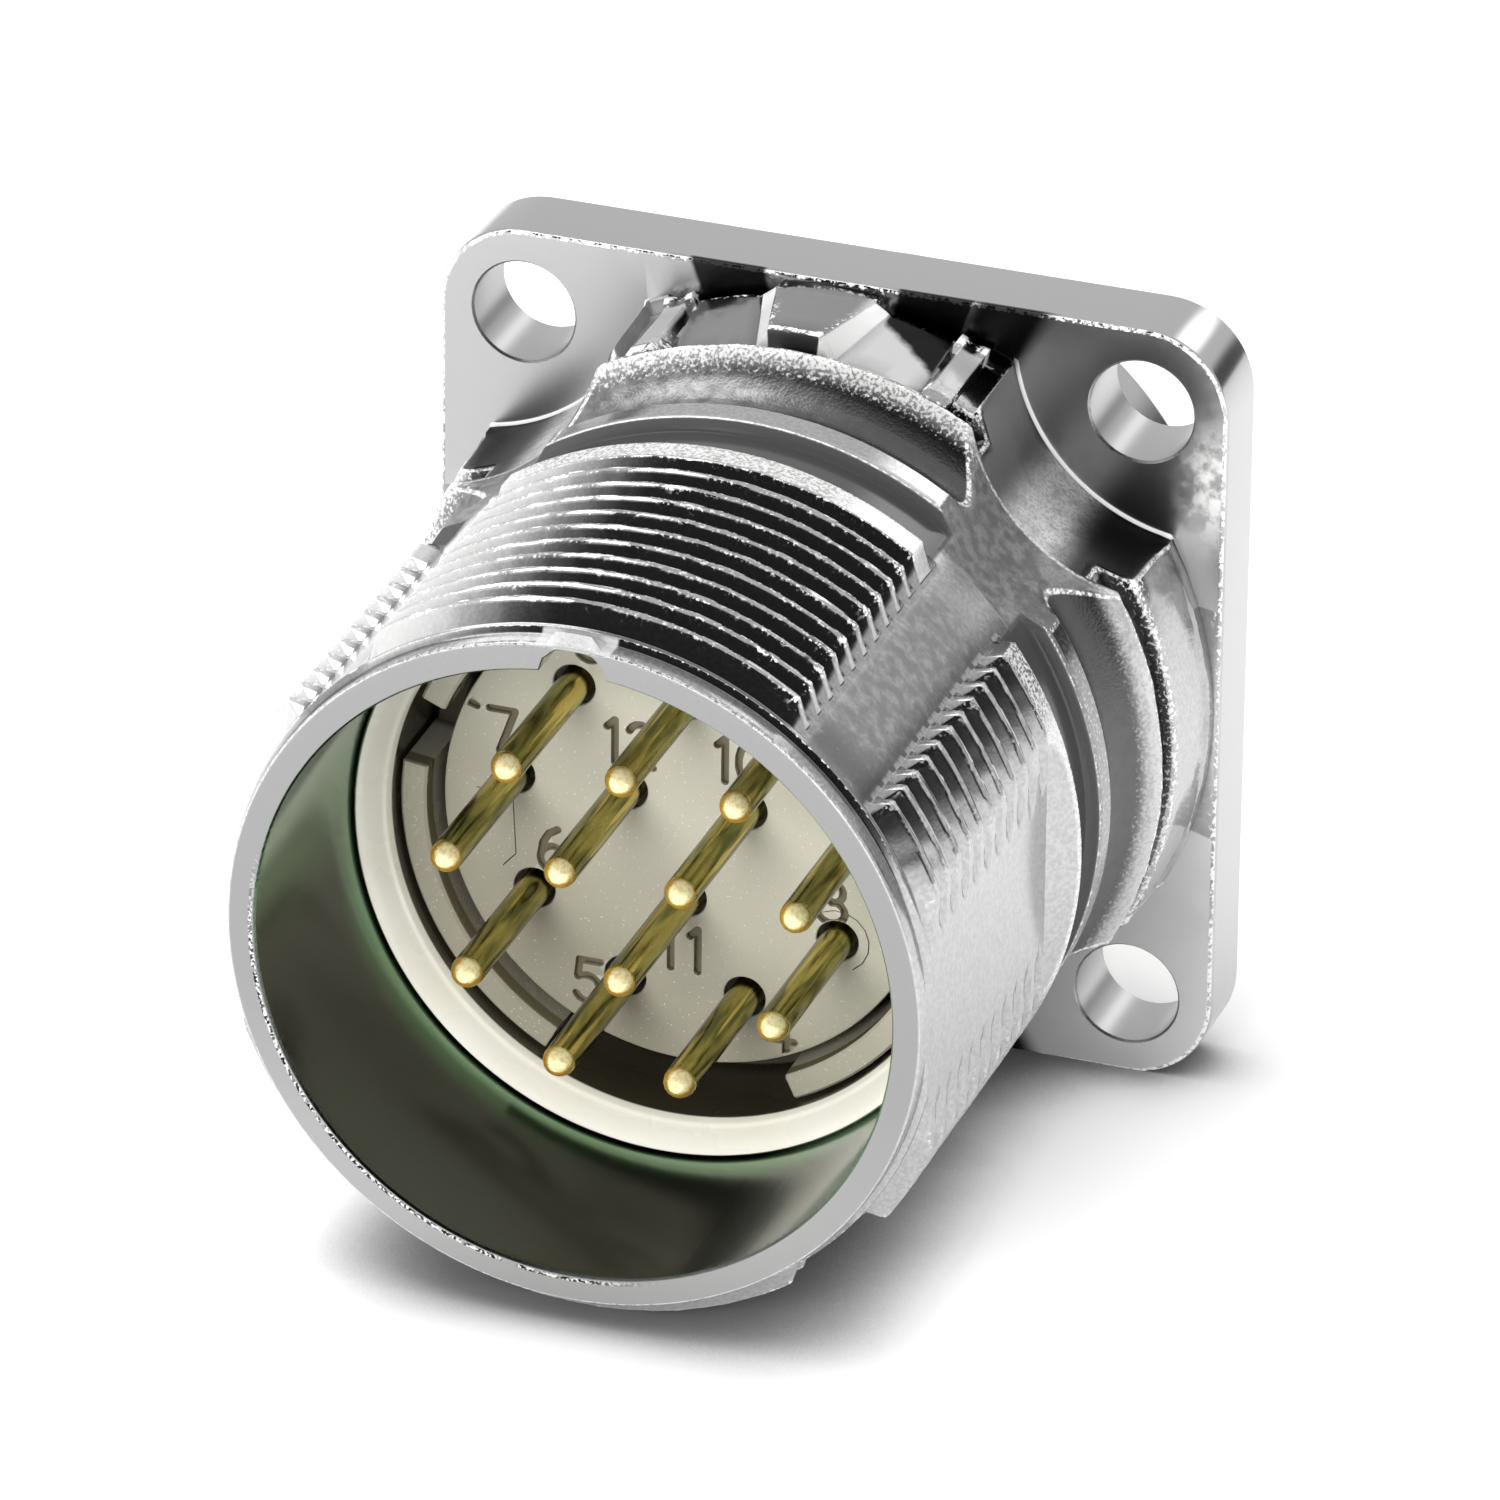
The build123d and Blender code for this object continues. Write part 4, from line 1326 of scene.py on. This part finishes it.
@dataclass
class ShoulderRing:
    """Cream ring at the bottom of the bore, with a dished face."""

    outer: float = 9.75
    inner: float = 8.85
    back: float = 11.52
    face: float = 17.2
    dish: float = 1.0
    columns: int = 288

    def build(self) -> bpy.types.Object:
        """Turned ring."""
        outline = [(self.outer, self.face - 0.08), (self.outer, self.back)]
        outline += [(self.inner, self.back), (self.inner, self.face - self.dish)]
        for t in np.linspace(0.04, 1, 16):
            radius = self.inner + (self.outer - 0.08 - self.inner) * t
            lip = 0.14 * math.exp(-(((t - 0.12) / 0.08) ** 2))
            outline.append((radius, self.face + lip - self.dish * (1 - t) ** 1.7))
        draft = Draft()
        draft.turn(outline, self.columns)
        return draft.build("cream_ring", 50)

    def dress(self, piece: bpy.types.Object) -> None:
        """Cream plastic."""
        place(piece, CreamPlastic(), Slot.CREAM, "shoulder_ring")


@dataclass
class KeyRing:
    """Low ring round the carrier with wall segments standing on it."""

    outer: float = 8.75
    inner: float = 7.95
    base: float = 10.52
    top: float = 15.9
    wall: float = 2.8
    gaps: tuple[Span, ...] = ((155, 208), (278, 292))
    columns: int = 720

    def build(self) -> bpy.types.Object:
        """Ring whose top steps down in the gaps."""
        degrees = np.arange(self.columns) * FULL_TURN / self.columns
        low = np.zeros(self.columns)
        for start, end in self.gaps:
            low = np.maximum(low, ramp(degrees, start - 0.4, start) - ramp(degrees, end, end + 0.4))
        top = self.top - self.wall * low
        draft = Draft()
        outer, inner, soft = self.outer, self.inner, 0.08
        sections = [(outer, top - soft), (outer, self.base), (inner, self.base), (inner, top - soft)]
        sections += [(inner + soft, top), (outer - soft, top)]
        draft.loft([draft.wrap(radius, level, degrees) for radius, level in sections], closed=True)
        return draft.build("key_ring_walls", 40)

    def dress(self, piece: bpy.types.Object) -> None:
        """Beige plastic with painted shade on its lower walls."""
        place(piece, WallPlastic(), Slot.BEIGE, "key_ring")


def bow(x: float, z: float, wide: float, tall: float, start: float, end: float) -> Outline:
    """Points on part of an ellipse, angles counted from +X toward +Z."""
    count = max(3, round(abs(end - start) / 24))
    turns = np.radians(np.linspace(start, end, count + 1))
    return [(x + wide * math.cos(t), z + tall * math.sin(t)) for t in turns]


DIGITS: dict[str, list[Outline]] = {
    "0": [bow(0.45, 0.75, 0.38, 0.68, 0, 360)],
    "1": [[(0.25, 1.2), (0.5, 1.45), (0.5, 0.05)]],
    "2": [bow(0.45, 1.05, 0.37, 0.38, 160, -35) + [(0.08, 0.07), (0.85, 0.07)]],
    "3": [bow(0.42, 1.08, 0.36, 0.35, 150, -90), bow(0.42, 0.42, 0.42, 0.36, 90, -150)],
    "4": [[(0.65, 0.05), (0.65, 1.45), (0.05, 0.45), (0.9, 0.45)]],
    "5": [[(0.82, 1.43), (0.18, 1.43), (0.12, 0.85)] + bow(0.42, 0.5, 0.4, 0.44, 110, -150)],
    "6": [bow(0.45, 0.45, 0.38, 0.4, 90, -270), bow(0.72, 0.5, 0.64, 0.94, 100, 180)],
    "7": [[(0.06, 1.4), (0.86, 1.4), (0.38, 0.05)]],
    "8": [bow(0.45, 1.1, 0.32, 0.33, 0, 360), bow(0.45, 0.42, 0.4, 0.36, 0, 360)],
    "9": [bow(0.45, 1.04, 0.38, 0.4, 0, 360), bow(0.2, 1.0, 0.63, 0.94, -80, 0)],
}


@dataclass
class CarrierFront:
    """Front half of the contact carrier with engraved numbers."""

    face: float = 15.2
    back: float = 6.02
    shoulder: float = 10.48
    radius: float = 7.65
    flange_radius: float = 9.05
    groove: Triple = (7.1, 8.3, 8.25)
    seat_radius: float = 0.66
    seat_depth: float = 1.2
    pocket: float = 7.5
    hole_radius: float = 0.55
    shoulder_radius: float = 1.05
    stroke: float = 0.25
    scribe: float = 0.035
    engraved: float = 0.22
    seats: Outline = field(default_factory=list)
    labels: tuple[tuple[str, float, float], ...] = (
        ("7", -5.8, 2.35), ("12", -1.85, 2.6), ("10", 1.6, 2.6), ("6", -4.2, -1.35),
        ("3", 4.6, -1.5), ("11", -0.05, -3.9), ("5", -3.05, -5.55), ("4", 3.0, -6.1),
        ("8", -3.05, 5.8), ("9", 0.9, 5.6), ("1", 4.7, 4.6), ("2", 6.0, 2.2),
    )

    def lines(self) -> list[Outline]:
        """Centre lines of all engraved strokes."""
        drawn: list[Outline] = [[(-6.95, 3.1), (-6.6, 3.0)]]
        for word, x, z in self.labels:
            for number, digit in enumerate(word):
                left = x - 0.45 * len(word) + 0.85 * number
                drawn += [[(left + px, z - 0.75 + pz) for px, pz in line] for line in DIGITS[digit]]
        return drawn

    def capsules(self) -> list[np.ndarray]:
        """Closed outline round each straight bit of the strokes and of the thin scribed lines."""
        x, z = self.seats[2]
        scribed = [[(-6.6, 0.3), (-5.45, 0.2), (-5.35, -1.7), (-5.75, -2.15)], bow(x, z, 1.0, 1.0, -60, 120)]
        shapes = []
        for half, lines in ((self.stroke / 2, self.lines()), (self.scribe / 2, scribed)):
            for (ax, az), (bx, bz) in (pair for line in lines for pair in zip(line, line[1:])):
                heading = math.degrees(math.atan2(bz - az, bx - ax))
                head = bow(bx, bz, half, half, heading - 90, heading + 90)
                tail = bow(ax, az, half, half, heading + 90, heading + 270)
                shapes.append(np.array(head + tail))
        return shapes

    def build(self) -> bpy.types.Object:
        """Turned body with stepped holes and an engraved face."""
        draft = Draft()
        low, high, floor = self.groove
        wide, face = self.flange_radius, self.face
        outline = [(self.radius - 0.14, face), (self.radius - 0.04, face - 0.04), (self.radius, face - 0.14)]
        outline += [(self.radius, self.shoulder), (wide, self.shoulder), (wide, high), (floor, high)]
        outline += [(floor, low), (wide, low), (wide, self.back)]
        rings = [draft.wrap(radius, station, np.arange(0, FULL_TURN, 2.0)) for radius, station in outline]
        draft.loft(rings)
        shoulder, hole, seat = self.shoulder_radius, self.hole_radius, self.seat_radius
        deep = face - self.seat_depth
        sections = [(shoulder, self.back), (shoulder, self.pocket), (hole, self.pocket), (hole, deep)]
        sections += [(seat, deep), (seat, face - 0.03), (seat + 0.03, face)]
        backs, fronts = draft.bores(self.seats, sections, 10.0)
        shapes = self.capsules()
        guides = [draft.ring([tuple(p) for p in shape], self.face) for shape in shapes]

        def sunk(points: np.ndarray) -> np.ndarray:
            """Points inside any stroke."""
            found = np.zeros(len(points), bool)
            for shape in shapes:
                found |= inside(points, shape)
            return found

        draft.plate(rings[0], fronts, front=True, sunk=sunk, extra=guides, depth=self.engraved)
        draft.plate(rings[-1], backs, front=False)
        return draft.build("contact_carrier", 34, wide=0.26)

    def dress(self, piece: bpy.types.Object) -> None:
        """Beige plastic."""
        place(piece, BeigePlastic(), Slot.BEIGE, "carrier_front")


@dataclass
class Contacts:
    """Twelve male contacts, set out by a Geometry Nodes tree."""

    pin_radius: float = 0.5
    tip: float = 21.25
    tip_flat: float = 0.1
    shank_radius: float = 0.75
    shoulder_radius: float = 1.0
    shoulder: Span = (6.02, 7.4)
    cup_end: float = -10.0
    cup_depth: float = 3.0
    cup_wall: float = 0.2
    cup_slot: float = 2.4
    outer_radius: float = 5.5
    outer_count: int = 8
    keyed_radius: float = 4.4
    inner_radius: float = 2.16
    inner_count: int = 3
    columns: int = 48

    def seats(self) -> Outline:
        """Place of each contact on the face, in the order of their numbers."""
        step = FULL_TURN / (self.outer_count + 1)
        outer = [polar(self.outer_radius, step * (n + 1)) for n in range(self.outer_count)]
        spread = FULL_TURN / self.inner_count
        inner = [polar(self.inner_radius, spread * (n + 0.5)) for n in range(self.inner_count)]
        return outer + [(0.0, self.keyed_radius)] + inner

    def contact(self) -> bpy.types.Object:
        """One contact on the axis: rounded pin, shoulder, shank and open solder cup."""
        degrees = np.arange(self.columns) * FULL_TURN / self.columns
        open_side = (np.cos(np.radians(degrees)) > 0.5).astype(float)
        draft = Draft()
        rows: list[Triple] = []
        for turn in np.radians(np.linspace(6, 90, 8)):
            across = self.tip_flat + (self.pin_radius - self.tip_flat) * math.sin(turn)
            rows.append((across, self.tip - self.pin_radius * (1 - math.cos(turn)), 0))
        (back, front), shank, end = self.shoulder, self.shank_radius, self.cup_end
        inner, floor = shank - self.cup_wall, end + self.cup_depth
        rows += [(self.pin_radius, station, 0) for station in (19, 17, 15.2, 11, front)]
        rows += [(self.shoulder_radius, front, 0), (self.shoulder_radius, back, 0), (shank, back, 0)]
        rows += [(shank, end + self.cup_slot + 0.1, 0), (shank, end, 1), (inner, end, 1)]
        rows += [(inner, floor, 0), (0.05, floor + 0.3, 0)]
        slotted = self.cup_slot * open_side
        rings = [draft.wrap(radius, station + cut * slotted, degrees) for radius, station, cut in rows]
        draft.loft(rings)
        draft.cap(rings[0], front=True)
        draft.cap(rings[-1], front=False)
        return draft.build("contact_pattern", 50, wide=0)

    def inputs(self, pattern: bpy.types.Object) -> dict[str, tuple[str, object]]:
        """Type and value of each named input of the layout."""
        return {
            "Contact": ("Object", pattern),
            "Finish": ("Material", GoldPlate().material()),
            "Outer Count": ("Int", self.outer_count),
            "Outer Radius": ("Float", self.outer_radius * MM),
            "Keyed Radius": ("Float", self.keyed_radius * MM),
            "Inner Count": ("Int", self.inner_count),
            "Inner Radius": ("Float", self.inner_radius * MM),
        }

    @staticmethod
    def tree(kinds: dict[str, str]) -> bpy.types.NodeTree:
        """Geometry Nodes tree that sets a contact on two circles and on the keyed place."""
        shape = {"Geometry": "Geometry"}
        graph, given, leave = new_group("GeometryNodeTree", "contact_layout", {**shape, **kinds}, shape)
        index = graph.value("GeometryNodeInputIndex")
        joined = graph.add("GeometryNodeJoinGeometry")
        circles = (
            (given["Outer Count"], given["Outer Radius"], given["Outer Count"] + 1.0, 1.0),
            (1, given["Keyed Radius"], 1.0, 0.0),
            (given["Inner Count"], given["Inner Radius"], given["Inner Count"], 0.5),
        )
        for count, radius, share, offset in circles:
            turn = graph.math("DIVIDE", index + offset, share) * math.tau
            x, z = (graph.math(wave, turn) * radius for wave in ("SINE", "COSINE"))
            spot = graph.value("ShaderNodeCombineXYZ", {0: x, 2: z})
            points = graph.add("GeometryNodePoints", {"Count": count, "Position": spot})
            graph.tree.links.new(points.outputs[0], joined.inputs[0])
        pattern = graph.value("GeometryNodeObjectInfo", {"Object": given["Contact"]}, "Geometry")
        inputs = {"Points": joined.outputs[0], "Instance": pattern}
        spread = graph.value("GeometryNodeInstanceOnPoints", inputs)
        real = graph.value("GeometryNodeRealizeInstances", {"Geometry": spread})
        dressed = graph.value("GeometryNodeSetMaterial", {"Geometry": real, "Material": given["Finish"]})
        graph.feed(leave, {0: dressed})
        return graph.tree

    def build(self) -> bpy.types.Object:
        """All contacts as one plain mesh."""
        pattern = self.contact()
        carrier = show("contact_layout", bpy.data.meshes.new("contact_layout"))
        inputs = self.inputs(pattern)
        layout = carrier.modifiers.new("layout", "NODES")
        layout.node_group = self.tree({name: kind for name, (kind, _) in inputs.items()})
        for item in layout.node_group.interface.items_tree:
            if item.in_out == "INPUT" and item.name in inputs:
                layout[item.identifier] = inputs[item.name][1]
        evaluated = carrier.evaluated_get(bpy.context.evaluated_depsgraph_get())
        mesh = bpy.data.meshes.new_from_object(evaluated)
        made = show("contacts", mesh)
        for spare in (carrier, pattern):
            bpy.data.objects.remove(spare)
        finish_shading(mesh, 50)
        mark_edges(made, 0.7)
        return made

    def dress(self, piece: bpy.types.Object) -> None:
        """Gold plate."""
        count = self.outer_count + 1 + self.inner_count
        place(piece, GoldPlate(), Slot.GOLD, *(f"contact_{n + 1}" for n in range(count)))


@dataclass
class HiddenPieces:
    """Pieces behind the face, kept as packed and given their finishes."""

    finishes: dict[str, Finish] = field(
        default_factory=lambda: {
            "carrier_rear": BeigePlastic(),
            "retaining_ring": BeigePlastic(),
            "carrier_seal": SealRubber(),
            "flange_seal": SealRubber(),
        }
    )

    def dress(self, nodes: dict[str, bpy.types.Object]) -> None:
        """Assign each finish to its node's material slots."""
        for name, finish in self.finishes.items():
            slots = nodes[name].material_slots
            for slot in slots:
                slot.material = finish.material()
            LOG.info("%s: %s", name, type(finish).__name__)


@dataclass(frozen=True)
class Viewpoint:
    """Camera placed as the photographer's."""

    azimuth: float = 19.34
    elevation: float = 27.1
    roll: float = 0.64
    distance: float = 400.0
    focal_pixels: float = 13413.0
    frame_pixels: float = 1500.0
    sensor: float = 36.0
    middle: Point = (0.0, -10.0, 0.0)
    aside: float = 0.14
    above: float = 0.20

    def build(self) -> bpy.types.Object:
        """Camera that looks at the middle of the part."""
        a, e, r = (math.radians(v) for v in (self.azimuth, self.elevation, self.roll))
        back = Vector((math.sin(a) * math.cos(e), -math.cos(a) * math.cos(e), math.sin(e)))
        level = Vector((math.cos(a), math.sin(a), 0))
        upright = back.cross(level)
        right = level * math.cos(r) + upright * math.sin(r)
        up = upright * math.cos(r) - level * math.sin(r)
        eye = Vector(self.middle) + right * self.aside + up * self.above + back * self.distance
        data = bpy.data.cameras.new("photographer")
        data.sensor_width = self.sensor
        data.lens = self.focal_pixels / self.frame_pixels * self.sensor
        data.clip_start, data.clip_end = 0.01, 10
        camera = show("photographer", data)
        turn = Matrix((right, up, back)).transposed().to_4x4()
        camera.matrix_world = Matrix.Translation(eye * MM) @ turn
        bpy.context.scene.camera = camera
        return camera


@dataclass(frozen=True)
class Lamp:
    """Round soft lamp that faces the part."""

    name: str
    power: float
    size: float
    spot: Point
    mirrored: bool = True

    def build(self) -> None:
        """Add the lamp."""
        data = bpy.data.lights.new(self.name, "AREA")
        data.shape, data.size, data.energy = "DISK", self.size * MM, self.power
        lamp = show(self.name, data)
        spot = Vector(self.spot)
        facing = spot.to_track_quat("Z", "Y").to_matrix().to_4x4()
        lamp.matrix_world = Matrix.Translation(spot * MM) @ facing
        lamp.visible_glossy = self.mirrored


@dataclass(frozen=True)
class Panel:
    """Soft bright panel or dark screen in the surroundings, as angles from its middle."""

    toward: Point
    inner: float
    outer: float
    level: float


@dataclass(frozen=True)
class Studio:
    """Pale floor, bright surroundings with soft panels and dark screens, and two soft lamps."""

    surround: float = 0.74
    panels: tuple[Panel, ...] = (
        Panel((0.24, 0.84, 0.485), 3.0, 11.0, 2.4),
        Panel((0.54, 0.84, 0.03), 5.0, 13.0, 0.08),
        Panel((-0.9, -0.35, 0.2), 15.0, 42.0, 1.1),
        Panel((0.302, -0.83, 0.469), 44.0, 64.0, 0.03),
    )
    floor_colour: Colour = grey(0.97)
    floor_lift: float = 0.24
    floor_shade: Colour = grey(0.2)
    shade_reach: float = 4.5
    lamps: tuple[Lamp, ...] = (
        Lamp("key", 0.3, 200.0, (-170.0, 60.0, 260.0)),
        Lamp("bore_fill", 0.8, 160.0, (-30.0, -330.0, 120.0), mirrored=False),
    )

    def surroundings(self) -> None:
        """World that is white to the camera, even on dull surfaces, and mirrored with its panels."""
        world = bpy.data.worlds.new("studio")
        bpy.context.scene.world = world
        world.use_nodes = True
        tree = world.node_tree
        tree.nodes.clear()
        graph = Graph(tree)
        heading = graph.value("ShaderNodeTexCoord", None, "Generated")
        level: Value | float = self.surround
        for panel in self.panels:
            toward = Vector(panel.toward).normalized()
            inputs = {0: heading, 1: toward}
            facing = graph.value("ShaderNodeVectorMath", inputs, "Value", operation="DOT_PRODUCT")
            share = facing.rise(*(math.cos(math.radians(turn)) for turn in (panel.outer, panel.inner)))
            level = graph.value("ShaderNodeMix", {0: share, 2: level, 3: panel.level})
        lit = graph.add("ShaderNodeBackground", {"Color": (1, 1, 1, 1), "Strength": level})
        plain = graph.add("ShaderNodeBackground", {"Color": (1, 1, 1, 1), "Strength": 1.0})
        camera, dull = (
            graph.value("ShaderNodeLightPath", None, ray) for ray in ("Is Camera Ray", "Is Diffuse Ray")
        )
        chosen = graph.add("ShaderNodeMixShader", {0: camera | dull, 1: lit.outputs[0], 2: plain.outputs[0]})
        graph.add("ShaderNodeOutputWorld", {0: chosen.outputs[0]})

    def floor(self) -> None:
        """Floor under the flange's lower edge and the rim, with a painted contact shadow near the part that
        only the camera sees.
        """
        low, high = Vector((0, 0, -12.5)), Vector((0, -23.6, -11.5))
        along = (high - low).normalized()
        across = Vector((1, 0, 0))
        reach = 900.0
        sides = ((1, -1), (-1, -1), (-1, 1), (1, 1))
        corners = [low + across * sx * reach + along * sy * reach for sx, sy in sides]
        mesh = bpy.data.meshes.new("floor")
        mesh.from_pydata([tuple(corner * MM) for corner in corners], [], [(0, 1, 2, 3)])
        made = show("floor", mesh)
        material = bpy.data.materials.new("floor_paper")
        material.use_nodes = True
        tree = material.node_tree
        tree.nodes.clear()
        graph = Graph(tree)
        # Painted contact shadow: camera rays see the floor darkened near the part by its ambient occlusion,
        # and the lift toward white fades there too.
        seen = graph.value("ShaderNodeLightPath", None, "Is Camera Ray")
        inputs = {"Distance": self.shade_reach * MM}
        open_air = graph.value("ShaderNodeAmbientOcclusion", inputs, "AO", samples=8).rise(0.3, 1.0)
        tone = graph.blend(open_air | (1.0 - seen), self.floor_shade, self.floor_colour)
        paper = graph.add("ShaderNodeBsdfDiffuse", {"Color": tone})
        lift = graph.add("ShaderNodeEmission", {"Strength": seen * open_air * self.floor_lift})
        total = graph.add("ShaderNodeAddShader", {0: paper.outputs[0], 1: lift.outputs[0]})
        graph.add("ShaderNodeOutputMaterial", {0: total.outputs[0]})
        mesh.materials.append(material)

    def build(self) -> None:
        """Whole studio."""
        self.surroundings()
        self.floor()
        for lamp in self.lamps:
            lamp.build()
        bpy.context.scene.view_settings.view_transform = "Standard"


def main() -> None:
    """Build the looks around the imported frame."""
    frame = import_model()
    Viewpoint().build()
    Studio().build()
    contacts = Contacts()
    assemblies = (Shell(), ShoulderRing(), KeyRing(), CarrierFront(seats=contacts.seats()), contacts)
    for assembly in assemblies:
        assembly.dress(assembly.build())
    HiddenPieces().dress(frame["nodes"])


if __name__ == "__main__":
    logging.basicConfig(level=logging.INFO, format="%(name)s %(message)s")
    main()
